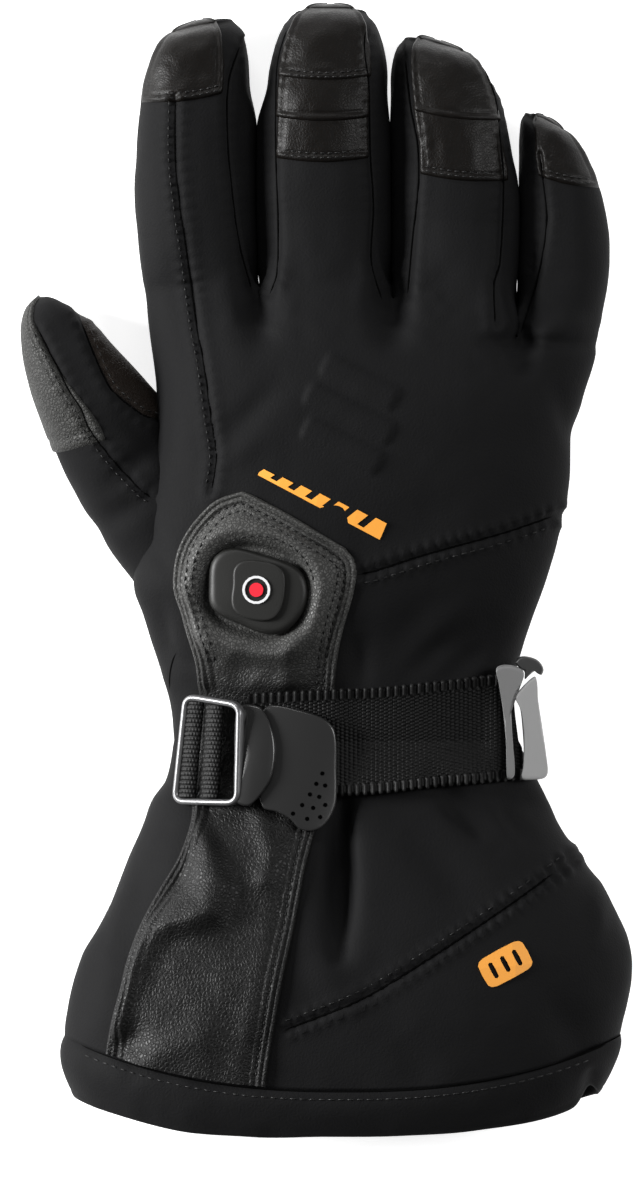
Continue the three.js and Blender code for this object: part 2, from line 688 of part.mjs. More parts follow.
const above = block(-FAR, FAR, -FAR, FAR, SIDE_SEAM_HEIGHT + GAP / 2, FAR);
const below = block(-FAR, FAR, -FAR, FAR, -FAR, SIDE_SEAM_HEIGHT - GAP / 2);
let backPanel = openHand.intersect(above);
for (const seam of BACK_SEAMS) backPanel = backPanel.subtract(groove(seam, SEAM_WIDTH, SEAM_DEPTH));
const palmPanel = openHand.intersect(below);
add("back_panel", backPanel, softshell());
add("palm_panel", palmPanel, leather());
add("thumb_shell", thumbShell, greyLeather());

// Gauntlet
const cuffHollow = cuffSolid(-WALL, WALL, INNER_STEPS, -1, 0, CUFF_INNER_STATIONS);
const bandGap = GAP / CUFF_LENGTH;
const cuffSkin = cuffSolid(0, 0, OUTER_STEPS, BAND_FROM, -joinGap / CUFF_LENGTH).subtract(cuffHollow);
let cuffBack = cuffSkin.intersect(above);
for (const seam of CUFF_SEAMS) cuffBack = cuffBack.subtract(groove(seam, SEAM_WIDTH, SEAM_DEPTH));
add("cuff_back", cuffBack, softshell());
add("cuff_palm", cuffSkin.intersect(below), leather());

// Band round the mouth
const bandStations = [BAND_FROM - 2 * bandGap, -0.9, -0.92, -0.95, -0.98, -1];
const bandOuter = bandStations.map((along) => bodyLoop(along, OUTER_STEPS,
  HEM_BAND_SWELL * Math.sin(Math.PI * clamp((BAND_FROM - along) / (1 + BAND_FROM), 0.05, 0.9)), 0));
const bandInnerStations = [BAND_FROM - 2 * bandGap, -0.94, -1];
const bandInner = bandInnerStations.map((along) => bodyLoop(along, OUTER_STEPS, -WALL, WALL));
add("hem_band", wall(bandOuter.reverse(), bandInner.reverse(), false), softshell());

// Height of the back at a place of the outline plane
function surface(x, y) {
  let along = y / (y > 0 ? HAND_LENGTH : CUFF_LENGTH);
  let across = 0;
  for (let i = 0; i < 12; i += 1) {
    const size = bodySize(along);
    across = clamp((x - size.middle) / size.half, -0.99, 0.99);
    const [, reached] = flatPoint(along, across);
    along += (y - reached) / (y > 0 ? HAND_LENGTH : CUFF_LENGTH);
  }
  const size = bodySize(along);
  return sectionHeight(across, false, size.high, 0, 0) - foldDepth(along, x, y);
}

// A sheet of given thickness that lies on the back inside an outline
function sheet(outline, low, high, holes = []) {
  const column = prism(outline, SIDE_SEAM_HEIGHT, FAR, holes);
  return column.intersect(wholeSolid(high, 0)).subtract(wholeSolid(low, 0));
}

// Rounded four-sided outline round a place, turned by some degrees
function rounded(x, y, halfX, halfY, turn, power, count) {
  const list = [];
  for (let i = 0; i < count; i += 1) {
    const angle = 2 * Math.PI * i / count;
    const c = Math.cos(angle);
    const s = Math.sin(angle);
    const px = halfX * Math.sign(c) * Math.abs(c) ** (2 / power);
    const py = halfY * Math.sign(s) * Math.abs(s) ** (2 / power);
    const cosTurn = Math.cos(radians(turn));
    const sinTurn = Math.sin(radians(turn));
    list.push([x + px * cosTurn - py * sinTurn, y + px * sinTurn + py * cosTurn]);
  }
  return list;
}

// Area inside an outline, below zero when it runs clockwise
function areaOf(outline) {
  return outline.reduce((sum, [x, y], i) => {
    const [nextX, nextY] = outline[(i + 1) % outline.length];
    return sum + (x * nextY - nextX * y) / 2;
  }, 0);
}

// Stack of level outlines: [outline, height]
function stack(levels) {
  const turn = areaOf(levels[0][0]) > 0;
  return loft(levels.map(([outline, z]) => {
    const loop = outline.map(([x, y]) => [x, y, z]);
    return turn ? loop.reverse() : loop;
  }));
}

// Control patch with its puffed collar, and the switch sunk in it
const patchOutline = PATCH_OUTLINE.map(([along, across]) => flatPoint(along, across));
const [switchX, switchY] = flatPoint(SWITCH_AT[0], SWITCH_AT[1]);
const switchSlope = Math.atan((surface(switchX + SWITCH_WIDTH / 2, switchY)
  - surface(switchX - SWITCH_WIDTH / 2, switchY)) / SWITCH_WIDTH);
const switchSeat = surface(switchX, switchY);

function seatSwitch(solid) {
  return solid.rotate([0, -switchSlope * 180 / Math.PI, 0]).translate([switchX, switchY, switchSeat]);
}

const switchOutline = (grow) => rounded(0, 0, SWITCH_WIDTH / 2 + grow, SWITCH_LENGTH / 2 + grow,
  SWITCH_TURN, SWITCH_POWER, SWITCH_SIDES);
const buttonOutline = (grow) => rounded(BUTTON_OFF, 0, BUTTON_WIDTH / 2 + grow, BUTTON_LENGTH / 2 + grow,
  SWITCH_TURN, SWITCH_POWER, SWITCH_SIDES);
const collarLoops = [];
for (let i = 0; i < SWITCH_SIDES; i += 1) {
  const loop = [];
  for (let j = 0; j < COLLAR_SIDES; j += 1) {
    const angle = 2 * Math.PI * j / COLLAR_SIDES;
    const reach = COLLAR_RADIUS * (1 + Math.cos(angle));
    const [x, y] = switchOutline(reach)[i];
    const lift = COLLAR_PUFF * 0.5 * (1 + Math.sin(angle)) ** 0.9 + GAP;
    loop.push([switchX + x, switchY + y, surface(switchX + x, switchY + y) + lift]);
  }
  collarLoops.push(loop);
}

function ringOf(loops) {
  const count = loops[0].length;
  const faces = [];
  loops.forEach((loop, i) => {
    for (let j = 0; j < count; j += 1) {
      const next = ((i + 1) % loops.length) * count;
      const a = i * count + j;
      const b = i * count + (j + 1) % count;
      faces.push(a, b, next + (j + 1) % count, a, next + (j + 1) % count, next + j);
    }
  });
  return solidOf(indexed(loops.flat(), faces));
}

const patchTop = GAP + LEATHER;
const THROUGH = 30;
const switchHole = seatSwitch(stack([[switchOutline(GAP), -THROUGH], [switchOutline(GAP), THROUGH]]));
const bodyClearTop = wholeSolid(GAP, 0);
const controlPatch = sheet(patchOutline, GAP, patchTop).add(ringOf(collarLoops))
  .subtract(switchHole).subtract(bodyClearTop);
add("control_patch", controlPatch, material(0x1c1c1d, 0.45));

const housingTop = SWITCH_HEIGHT;
const recess = seatSwitch(stack([
  [buttonOutline(GAP), housingTop - RECESS_DEPTH], [buttonOutline(GAP), THROUGH],
]));
const housing = seatSwitch(stack([
  [switchOutline(0), -SWITCH_HEIGHT],
  [switchOutline(0), housingTop - 1.5 * HOUSING_EDGE],
  [switchOutline(-0.75 * HOUSING_EDGE), housingTop - HOUSING_EDGE / 2],
  [switchOutline(-2 * HOUSING_EDGE), housingTop],
])).subtract(recess).subtract(bodyClearTop);
add("switch_housing", housing, rubber());
const buttonLow = housingTop - RECESS_DEPTH + GAP;
add("switch_button", seatSwitch(stack([[buttonOutline(0), buttonLow],
  [buttonOutline(0), buttonLow + BUTTON_HEIGHT - BUTTON_EDGE],
  [buttonOutline(-BUTTON_EDGE), buttonLow + BUTTON_HEIGHT]])), rubber());
const lampLow = buttonLow + BUTTON_HEIGHT + GAP;
const circle = (radius, count) => rounded(0, 0, radius, radius, 0, 2, count);
add("lamp_ring", seatSwitch(prism(circle(LAMP_RING_RADIUS, LAMP_SIDES), lampLow, lampLow + LAMP_HEIGHT,
  [circle(LAMP_RING_RADIUS - LAMP_RING_BAND, LAMP_SIDES)])), material(0xe8e8ea, 0.4));
add("lamp_lens", seatSwitch(prism(circle(LAMP_LENS_RADIUS, LAMP_SIDES), lampLow, lampLow + LAMP_HEIGHT)),
  material(0xd8303c, 0.3));

// Wrist strap of webbing over the patch and the softshell
const strapOver = patchTop + GAP;
const rampFrom = flatPoint(0, RAMP_FROM)[0];
const strapLift = (x) => mix(strapOver, GAP, clamp((x - rampFrom) / RAMP_LENGTH, 0, 1));
const strapOutline = [
  [STRAP_TO, 0.5], [STRAP_FROM, 0.5], [STRAP_FROM, -0.5], [STRAP_TO, -0.5],
].map(([across, half]) => {
  const [x, y] = flatPoint(0, across);
  return [x, y + half * STRAP_WIDTH + STRAP_RISE * (across - STRAP_LEVEL_AT)];
});
add("wrist_strap", sheet(strapOutline, strapLift, (x) => strapLift(x) + WEBBING), webbing());

// Pull tab and its loop, lying on the strap
const tabLow = strapOver + WEBBING + GAP;
const [tabX, tabY] = flatPoint(0, TAB_AT);
const tabLine = TAB_OUTLINE.map(([x, y]) => [tabX + x * TAB_LENGTH, tabY + y * TAB_WIDTH]);
const tabHoles = TAB_HOLES.map(([x, y]) => circle(TAB_HOLE / 2, 6)
  .map(([cx, cy]) => [tabX + x * TAB_LENGTH + cx, tabY + y * TAB_WIDTH + cy]));
add("pull_tab", sheet(tabLine, tabLow, tabLow + TAB_THICKNESS, tabHoles), rubber());
const loopLine = LOOP_OUTLINE.map(([x, y]) => [tabX - GAP + x * TAB_LENGTH, tabY + y * TAB_WIDTH]);
add("tab_loop", sheet(loopLine, tabLow, tabLow + TAB_THICKNESS + LOOP_EXTRA), rubber());

// Loop buckle at the thumb side with the webbing folded through it
function inset(outline, by) {
  const count = outline.length;
  const side = Math.sign(areaOf(outline)) * by;
  return outline.map(([x, y], i) => {
    const [x0, y0] = outline[(i + count - 1) % count];
    const [x1, y1] = outline[(i + 1) % count];
    const before = Math.hypot(x - x0, y - y0);
    const after = Math.hypot(x1 - x, y1 - y);
    const nx = -((y - y0) / before + (y1 - y) / after);
    const ny = (x - x0) / before + (x1 - x) / after;
    const length = Math.hypot(nx, ny);
    return [x + nx / length * side, y + ny / length * side];
  });
}

function bevelled(outline, hole, thick) {
  const plate = stack([
    [inset(outline, EDGE_BEVEL), -thick / 2],
    [outline, EDGE_BEVEL - thick / 2],
    [outline, thick / 2 - EDGE_BEVEL],
    [inset(outline, EDGE_BEVEL), thick / 2],
  ]);
  return hole ? plate.subtract(prism(hole, -thick, thick)) : plate;
}

// Seats a tilted plate on the back: the lowest lift at which none of its outline points goes in
function seatPlate(outlines, thick, tilt, turn, x, y, clearance) {
  let lift = 0;
  for (const [px, py] of outlines.flat()) {
    for (const pz of [-thick / 2, thick / 2]) {
      const point = new THREE.Vector3(px, py, pz);
      point.applyAxisAngle(new THREE.Vector3(0, 1, 0), radians(tilt));
      point.applyAxisAngle(new THREE.Vector3(0, 0, 1), radians(turn));
      const along = (y + point.y) / HAND_LENGTH;
      const size = bodySize(along);
      if (Math.abs(x + point.x - size.middle) > size.half) continue;
      lift = Math.max(lift, surface(x + point.x, y + point.y) + clearance - point.z);
    }
  }
  return (solid) => solid.rotate([0, tilt, 0]).rotate([0, 0, turn]).translate([x, y, lift]);
}

const [buckleX, buckleMiddle] = flatPoint(0, BUCKLE_AT);
const buckleY = buckleMiddle + BUCKLE_OFF;
const buckleLine = (inside) => rounded(0, 0, BUCKLE_WIDTH / 2 - inside, BUCKLE_LENGTH / 2 - inside, 0,
  BUCKLE_POWER, BUCKLE_SIDES);
const buckleOuter = buckleLine(0);
const buckleInner = buckleLine(BUCKLE_BAR);
const seatBuckle = seatPlate([buckleOuter, buckleInner], BUCKLE_BAR, -BUCKLE_TILT, BUCKLE_TURN,
  buckleX, buckleY, patchTop + SEAT_ROOM);
add("loop_buckle", seatBuckle(bevelled(buckleOuter, buckleInner, BUCKLE_BAR)), plastic());

// Two rolls of webbing side by side, as one folded length
const foldHalf = STRAP_WIDTH / 2 - BUCKLE_BAR / 2;
const foldLoops = [-1, 1].map((end) => FOLD_PROFILE.map(([x, z]) => [
  x * BUCKLE_WIDTH, end * foldHalf, z * BUCKLE_BAR,
]));
add("strap_fold", seatBuckle(loft(foldLoops)).subtract(wholeSolid(patchTop + GAP, 0)), webbing());

// Hook buckle at the little-finger side
const hookX = bodySize(0).middle + HOOK_AT * bodySize(0).half;
const hookOuter = HOOK_FRAME.map(([x, y]) => [x * HOOK_BUCKLE_WIDTH, y * HOOK_BUCKLE_LENGTH]);
const hookSlot = HOOK_SLOT.map(([x, y]) => [x * HOOK_BUCKLE_WIDTH, y * HOOK_BUCKLE_LENGTH]);
const hookLine = HOOK_OUTLINE.map(([x, y]) => [x * HOOK_BUCKLE_WIDTH, y * HOOK_BUCKLE_LENGTH]);
const seatHook = seatPlate([hookOuter, hookLine], HOOK_BUCKLE_THICKNESS, HOOK_BUCKLE_TILT, HOOK_TURN,
  hookX, HOOK_OFF, SEAT_ROOM);
add("hook_buckle_frame", seatHook(bevelled(hookOuter, hookSlot, HOOK_BUCKLE_THICKNESS)), plastic());
add("hook_buckle_hook", seatHook(bevelled(hookLine, null, HOOK_BUCKLE_THICKNESS)), rubber());
const [barX, barY] = flatPoint(0, STRAP_TO);
const barLine = rounded(barX + HOOK_BAR / 2 + HOOK_BAR_ROOM, barY + HOOK_BAR_OFF, HOOK_BAR / 2,
  HOOK_BAR_LENGTH / 2, HOOK_BAR_TURN, 8, 16);
add("hook_buckle_bar", sheet(barLine, GAP, GAP + HOOK_BAR_HEIGHT), rubber());

// Plain orange prints
const gaugeLine = [];
const gaugeAt = flatPoint(GAUGE_AT[0], GAUGE_AT[1]);
const turned = ([x, y], angle, [ox, oy]) => [
  ox + x * Math.cos(radians(angle)) - y * Math.sin(radians(angle)),
  oy + x * Math.sin(radians(angle)) + y * Math.cos(radians(angle)),
];
const gaugeStep = GAUGE_LENGTH / GAUGE_BARS;
gaugeLine.push([0, 0], [GAUGE_LENGTH, 0]);
for (let i = GAUGE_BARS - 1; i >= 0; i -= 1) {
  const high = mix(GAUGE_LOWEST, 1, i / (GAUGE_BARS - 1)) * GAUGE_HEIGHT;
  const x0 = i * gaugeStep;
  const x1 = x0 + gaugeStep * GAUGE_BAR_SHARE;
  const spare = i === GAUGE_BARS - 1 ? gaugeStep * (1 - GAUGE_BAR_SHARE) : 0;
  const lean = high * GAUGE_SLANT;
  gaugeLine.push([x1 + spare, GAUGE_HEIGHT * GAUGE_BASE]);
  gaugeLine.push([x1 + lean, high], [x0 + lean, high], [x0, GAUGE_HEIGHT * GAUGE_BASE]);
}
const gaugeOutline = gaugeLine.map((point) => turned(point, GAUGE_TURN, gaugeAt));
add("heat_gauge", sheet(gaugeOutline, GAP, GAP + PRINT), orange());
const badgeAt = flatPoint(BADGE_AT[0], BADGE_AT[1]);
const onBadge = (outline) => outline.map((point) => turned(point, BADGE_TURN, badgeAt));
const badgeOutline = onBadge(rounded(0, 0, BADGE_LENGTH / 2, BADGE_HEIGHT / 2, 0, 5, 16));
const badgeHoles = BADGE_BARS.map((share) => onBadge(rounded(share * BADGE_LENGTH, 0,
  BADGE_LENGTH * BADGE_BAR_HALF[0], BADGE_HEIGHT * BADGE_BAR_HALF[1], 0, 4, 8)));
add("cuff_badge", sheet(badgeOutline, GAP, GAP + PRINT, badgeHoles), orange());

// Pebbled leather on the outer side of the thumb
const thumbSkin = (low, high) => {
  const shape = (grow) => loft(digitLoops(THUMB, THUMB_ROWS, thumbStations, grow, 0, null, thumbSteps));
  return shape(high).subtract(shape(low));
};
const thumbPoint = (along, across) => {
  const half = THUMB_WIDTH * read(THUMB_ROWS, along, 1) / 2 * across;
  const forward = THUMB_LENGTH * along;
  return [
    THUMB.x + half * THUMB.dirY + forward * THUMB.dirX,
    THUMB.y - half * THUMB.dirX + forward * THUMB.dirY,
  ];
};
const thumbLine = THUMB_PATCH_OUTLINE.map(([along, across]) => thumbPoint(along, across));
const thumbColumn = prism(thumbLine, THUMB_HEIGHT * THUMB_PATCH_LOW, FAR);
add("thumb_patch", thumbColumn.intersect(thumbSkin(GAP, GAP + LEATHER)).subtract(wholeSolid(GAP, -1)),
  greyLeather());

const part = new THREE.Group();
for (const { name, solid, look } of pieces) {
  const mesh = new THREE.Mesh(geometryOf(solid), look);
  mesh.name = name;
  part.add(mesh);
}
const bounds = new THREE.Box3().setFromObject(part);
const middle = bounds.getCenter(new THREE.Vector3());
for (const mesh of part.children) mesh.geometry.translate(-middle.x, -middle.y, -bounds.min.z);

export default part;
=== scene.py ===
import math
import bpy
import numpy as np
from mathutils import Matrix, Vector
from mathutils.bvhtree import BVHTree


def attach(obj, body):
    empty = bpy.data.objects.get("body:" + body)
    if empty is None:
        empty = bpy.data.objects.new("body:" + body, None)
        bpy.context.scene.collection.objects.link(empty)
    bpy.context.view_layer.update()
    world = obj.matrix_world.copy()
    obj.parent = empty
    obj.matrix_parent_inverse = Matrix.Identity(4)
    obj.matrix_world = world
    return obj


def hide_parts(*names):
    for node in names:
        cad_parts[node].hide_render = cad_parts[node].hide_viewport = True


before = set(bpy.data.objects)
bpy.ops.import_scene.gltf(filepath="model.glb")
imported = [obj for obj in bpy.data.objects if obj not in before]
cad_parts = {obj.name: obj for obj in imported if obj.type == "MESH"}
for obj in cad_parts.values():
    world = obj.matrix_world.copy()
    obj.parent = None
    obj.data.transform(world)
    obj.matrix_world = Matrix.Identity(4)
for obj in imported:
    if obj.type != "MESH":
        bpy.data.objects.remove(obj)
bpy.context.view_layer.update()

# Padded shell of the hand: black softshell over wadding, one piece with the four finger tubes, and the
# gauntlet below it. The hand is a stack of closed sections from the hem to the finger roots, and each
# finger goes on from its share of the front section.
# All shapes are worked out in millimetres with the wrist line at y = 0, then moved to the frame.
WRIST_AT = np.array([-0.45, -48.2, 0.0])
HAND_LENGTH = 125.4
CUFF_LENGTH = 112
HAND_WIDTH = 129
WRIST_WIDTH = 98
CUFF_WIDTH = 159
HAND_HEIGHT = 46
WRIST_HEIGHT = 39
ROOT_HEIGHT = 37
CUFF_HEIGHT = 58
WRIST_SHIFT = 5.84
HEM_BOW = 14.5
UPPER_POWER = 2.4
LOWER_POWER = 4
WIDEST_SHARE = 0.42
FLAT_CUT = 0.8
BAND_FROM = -0.877

# along, wide, shift, high, root
HAND_ROWS = [
    (0, 0, 0, 0, 0),
    (0.08, 0, -0.009, 0.15, 0),
    (0.148, 0.084, -0.018, 0.35, 0),
    (0.216, 0.242, -0.021, 0.5, 0),
    (0.284, 0.406, -0.019, 0.65, 0),
    (0.352, 0.6, -0.018, 0.78, 0),
    (0.432, 0.67, -0.004, 0.9, 0),
    (0.545, 0.7, 0.021, 1, 0),
    (0.659, 0.69, 0.038, 1, 0),
    (0.773, 0.774, 0.052, 1, 0.1),
    (0.886, 0.94, 0.061, 1, 0.5),
    (1, 1, 0.056, 1, 1),
]
# along, wide, shift, high, bow
CUFF_ROWS = [
    (0, 0, 0, 0, 0),
    (0.1, 0.136, 0.011, 0.12, 0),
    (0.151, 0.248, 0.007, 0.2, 0),
    (0.214, 0.346, 0.008, 0.32, 0),
    (0.29, 0.497, 0.012, 0.47, 0.02),
    (0.38, 0.679, 0.02, 0.63, 0.1),
    (0.48, 0.818, 0.022, 0.78, 0.3),
    (0.58, 0.939, 0.02, 0.9, 0.5),
    (0.69, 0.995, 0.012, 0.98, 0.75),
    (0.79, 1.005, 0.002, 1, 0.93),
    (0.877, 0.987, -0.007, 0.99, 1),
    (0.94, 0.945, -0.015, 0.95, 0.92),
    (1, 0.87, -0.018, 0.9, 0.74),
]
# Creases: from along, from across, to along, to across, half width, depth (below zero is a ridge)
FOLDS = [
    (-0.16, -0.06, -0.5, -0.075, 5, 3.4),
    (-0.1, 0.42, -0.25, 0.66, 4, 2.2),
    (-0.1, 0.7, -0.17, 0.98, 4, 2),
    (-0.3, -0.92, -0.62, -0.86, 6, 2.4),
    (-0.34, -0.62, -0.6, -0.5, 8, -1.6),
    (0.2, 0.3, 0.34, 0.5, 6, 1.6),
    (0.17, 0.6, 0.3, 0.85, 5, 1.5),
    (0.93, -0.5, 1.07, -0.52, 4.5, 9),
    (0.93, 0.08, 1.07, 0.09, 4.5, 9),
    (0.86, 0.66, 1.04, 0.65, 4.5, 9),
]


def mix(a, b, t):
    return a + (b - a) * t


def smooth(t):
    t = np.clip(t, 0, 1)
    return t * t * (3 - 2 * t)


def read(table, at, column):
    """Smooth curve through one column of a table by its first column: a cubic on each step, with the
    slope at a row taken from its two neighbours."""
    rows = np.asarray(table, float)
    xs, ys = rows[:, 0], rows[:, column]
    slope = np.empty(len(xs))
    slope[1:-1] = (ys[2:] - ys[:-2]) / (xs[2:] - xs[:-2])
    slope[0] = (ys[1] - ys[0]) / (xs[1] - xs[0])
    slope[-1] = (ys[-1] - ys[-2]) / (xs[-1] - xs[-2])
    x = np.clip(at, xs[0], xs[-1])
    i = np.clip(np.searchsorted(xs, x, side="right") - 1, 0, len(xs) - 2)
    step = xs[i + 1] - xs[i]
    t = (x - xs[i]) / step
    return ((2 * t**3 - 3 * t**2 + 1) * ys[i] + (t**3 - 2 * t**2 + t) * step * slope[i]
            + (3 * t**2 - 2 * t**3) * ys[i + 1] + (t**3 - t**2) * step * slope[i + 1])


def body_size(along):
    """Half width, middle, height, y and bow of the section at a share of the hand's length, or below
    zero of the gauntlet's."""
    hand, a, c = along >= 0, np.clip(along, 0, 1), np.clip(-along, 0, 1)
    half = np.where(hand, mix(WRIST_WIDTH, HAND_WIDTH, read(HAND_ROWS, a, 1)),
                    mix(WRIST_WIDTH, CUFF_WIDTH, read(CUFF_ROWS, c, 1))) / 2
    middle = WRIST_SHIFT + np.where(hand, HAND_WIDTH * read(HAND_ROWS, a, 2), CUFF_WIDTH * read(CUFF_ROWS, c, 2))
    hand_high = mix(mix(WRIST_HEIGHT, HAND_HEIGHT, read(HAND_ROWS, a, 3)), ROOT_HEIGHT, read(HAND_ROWS, a, 4))
    high = np.where(hand, hand_high, mix(WRIST_HEIGHT, CUFF_HEIGHT, read(CUFF_ROWS, c, 3)))
    y = along * np.where(hand, HAND_LENGTH, CUFF_LENGTH)
    bow = np.where(hand, 0, HEM_BOW * read(CUFF_ROWS, c, 4))
    return half, middle, high, y, bow


def flat_point(along, across):
    half, middle, high, y, bow = body_size(np.asarray(along, float))
    return middle + across * half, y + bow * np.abs(np.clip(across, -1, 1)) ** 2.4


def top_turn(across):
    """Place round a section (0 left, 0.25 top, 0.5 right, 0.75 under) of a point on its upper side."""
    return np.arccos(-np.sign(across) * np.abs(across) ** (UPPER_POWER / 2)) / (2 * np.pi)


def under_turn(across):
    return 1 - np.arccos(-np.sign(across) * np.abs(across) ** (LOWER_POWER / 2)) / (2 * np.pi)


def section(turn, high):
    """Across and height round a padded section: two half superellipses, flat where it rests."""
    c, s = np.cos(2 * np.pi * turn), np.sin(2 * np.pi * turn)
    power = np.where(s >= 0, UPPER_POWER, LOWER_POWER)
    across = -np.sign(c) * np.abs(c) ** (2 / power)
    rise = np.abs(s) ** (2 / power)
    side = WIDEST_SHARE * high
    upper = side + (high - side) * rise
    return across, np.where(s >= 0, upper, np.maximum(0, side - (side + FLAT_CUT) * rise)), s >= 0


def line_distance(line, x, y):
    """Signed distance from a polyline (above zero on its left) and the length run along it."""
    best, sign, run, walked = np.full(x.shape, 1e9), np.ones(x.shape), np.zeros(x.shape), 0.0
    for (x0, y0), (x1, y1) in zip(line[:-1], line[1:]):
        dx, dy = x1 - x0, y1 - y0
        length = math.hypot(dx, dy)
        t = np.clip(((x - x0) * dx + (y - y0) * dy) / length**2, 0, 1)
        off = np.hypot(x - x0 - t * dx, y - y0 - t * dy)
        near = off < best
        best = np.where(near, off, best)
        sign = np.where(near, np.sign(dx * (y - y0) - dy * (x - x0)), sign)
        run = np.where(near, walked + t * length, run)
        walked += length
    return best * sign, run


def crease(folds, x, y):
    """Sum of valleys along straight lines: depth times a bell across the line, weaker at its ends."""
    depth = np.zeros(x.shape)
    for x0, y0, x1, y1, half, deep in folds:
        t = np.clip(((x - x0) * (x1 - x0) + (y - y0) * (y1 - y0)) / ((x1 - x0) ** 2 + (y1 - y0) ** 2), 0, 1)
        off = np.hypot(x - mix(x0, x1, t), y - mix(y0, y1, t))
        depth += deep * np.exp(-((off / half) ** 2)) * (0.35 + 0.65 * np.sin(np.pi * t))
    return depth


BODY_FOLDS = [(*map(float, flat_point(a0, c0)), *map(float, flat_point(a1, c1)), half, deep)
              for a0, c0, a1, c1, half, deep in FOLDS]


# Smaller folds of the cloth (mm): from x, y, to x, y, half width, depth
SMALL_FOLDS = [
    (-30.2, 84.6, -14, 100.9, 3.8, 1.1), (-29.4, 78.9, -16.5, 86.4, 3.5, -0.7), (10, 31, 9, 15, 3.6, 1.8),
    (23.7, 19, 38.2, 31.6, 3.6, 1.5), (33, 17, 46, 27, 3, 1.1), (45.3, 113.6, 76.4, 112.6, 1.7, 1.5),
    (60, 117, 77, 119, 3, -1.1), (66, 99, 74, 80, 3.5, 1.2), (4.3, -14, 3.7, -60, 2.7, 5),
    (33.6, -18, 43.6, -27, 1.6, 1.5), (22.2, -24, 42.5, -46.2, 6.5, 1.5), (48, -16, 57, -28, 3, 1.3),
    (77, -42, 77, -56, 3, -1.4), (62, -70, 76, -92, 6, 1.4), (-60, -30, -70, -76, 5, 1.6),
    (-45, 22, -47, 38, 3, 1.4), (20, -84, 30, -98, 6, 0.9), (-4, -60, 8, -80, 5, -0.9),
    (-45, 26, -36, 20, 2.2, 0.9), (-52, 60, -44, 48, 3, 1.0), (14, 58, 44, 70, 7, 0.8),
]
# Raised bars pressed into the back of the hand (mm): middle x, y, half length, half width
PRESSED_BARS = [(9.5, 101.5, 11.5, 3.1), (6.5, 92.6, 13.5, 3.1), (4.5, 83.6, 12, 3.1)]
PRESSED_TURN = math.radians(-27)


def body_point(along, turn):
    """Point of the padded body before its wrinkles: the section's superellipse at that place, less the
    large creases."""
    half, middle, high, y0, bow = body_size(along)
    across, z, upper = section(turn, high)
    x = middle + across * half
    y = y0 + bow * np.abs(across) ** 2.4
    z = np.where(upper, np.maximum(z - crease(BODY_FOLDS, x, y), 1), z)
    return np.stack(np.broadcast_arrays(x, y, z), -1)


# root across, tip across, bend, root y, length, width, taper, root height, height, skew, cap start
FINGERS = {
    "index": (-36.2, -35.8, -1.8, 125.4, 78, 33.4, 0, 32, 31, 2, 0.74),
    "middle": (-0.1, 1.4, -1, 125.4, 81.8, 37, 0, 36, 33, 0, 0.49),
    "ring": (36, 31.6, 3, 125.4, 72.5, 35.6, 0.04, 36, 32, -2.6, 0.48),
    "little": (65, 62.4, 4.6, 115.4, 61, 25.4, 0.14, 30, 28, -3, 0.79),
}
# along, width, height
FINGER_ROWS = [
    (0, 0.98, 1), (0.12, 0.99, 0.99), (0.3, 1, 1), (0.45, 1, 1), (0.6, 0.985, 0.99), (0.72, 0.965, 0.97),
    (0.8, 0.94, 0.93), (0.87, 0.88, 0.87), (0.93, 0.79, 0.78), (0.97, 0.69, 0.66), (1, 0.54, 0.46),
]
TIP_TURN = 0.05
STRIP = 0.8


def finger_point(name, along, turn):
    """Point of a finger tube: superellipse sections along a bent axis; past 1 the end closes over a
    quarter turn to its middle."""
    root, tip, bend, start, length, width, taper, root_high, high, skew, cap = FINGERS[name]
    s = np.minimum(along, 1)
    half = width / 2 * read(FINGER_ROWS, s, 1) * (1 - taper * np.clip(2 * s - 1, 0, 1))
    tall = mix(root_high, high, np.clip(s / 0.3, 0, 1)) * read(FINGER_ROWS, s, 2)
    across, z, upper = section(turn, tall)
    closing = np.clip((along - 1) / TIP_TURN, 0, 1)
    keep = np.cos(closing * np.pi / 2)
    x = root + (across * half) * keep + (tip - root) * s + bend * 4 * s * (1 - s)
    y = start + length * s + skew * across * s * keep + 1.6 * np.sin(closing * np.pi / 2)
    z = mix(tall * 0.5, z, keep) + 2.5 * smooth((s - 0.8) / 0.2)
    return np.stack(np.broadcast_arrays(x, y, z), -1)


def side_of(name, y, side):
    """Outer line of a finger at its right (side 1) or left (side -1), by place in y."""
    root, tip, bend, start, length, width, taper, root_high, high, skew, cap = FINGERS[name]
    s = np.clip((y - start) / length, 0, 1)
    half = width / 2 * read(FINGER_ROWS, s, 1) * (1 - taper * np.clip(2 * s - 1, 0, 1))
    return root + (tip - root) * s + bend * 4 * s * (1 - s) + side * half


def noise(points, size, seed):
    """Smooth noise between -1 and 1: random values on a cubic lattice of that size, blended by the
    cubic ease between its corners."""
    table = np.random.default_rng(seed).uniform(-1, 1, 4096)
    p = points / size + 1000
    cell = np.floor(p).astype(int)
    f = p - cell
    f = f * f * (3 - 2 * f)
    total = 0
    for i in (0, 1):
        for j in (0, 1):
            for k in (0, 1):
                value = table[((cell[..., 0] + i) * 73 + (cell[..., 1] + j) * 179 + (cell[..., 2] + k) * 283) % 4096]
                total = total + value * (np.where(i, f[..., 0], 1 - f[..., 0]) * np.where(j, f[..., 1], 1 - f[..., 1])
                                         * np.where(k, f[..., 2], 1 - f[..., 2]))
    return total


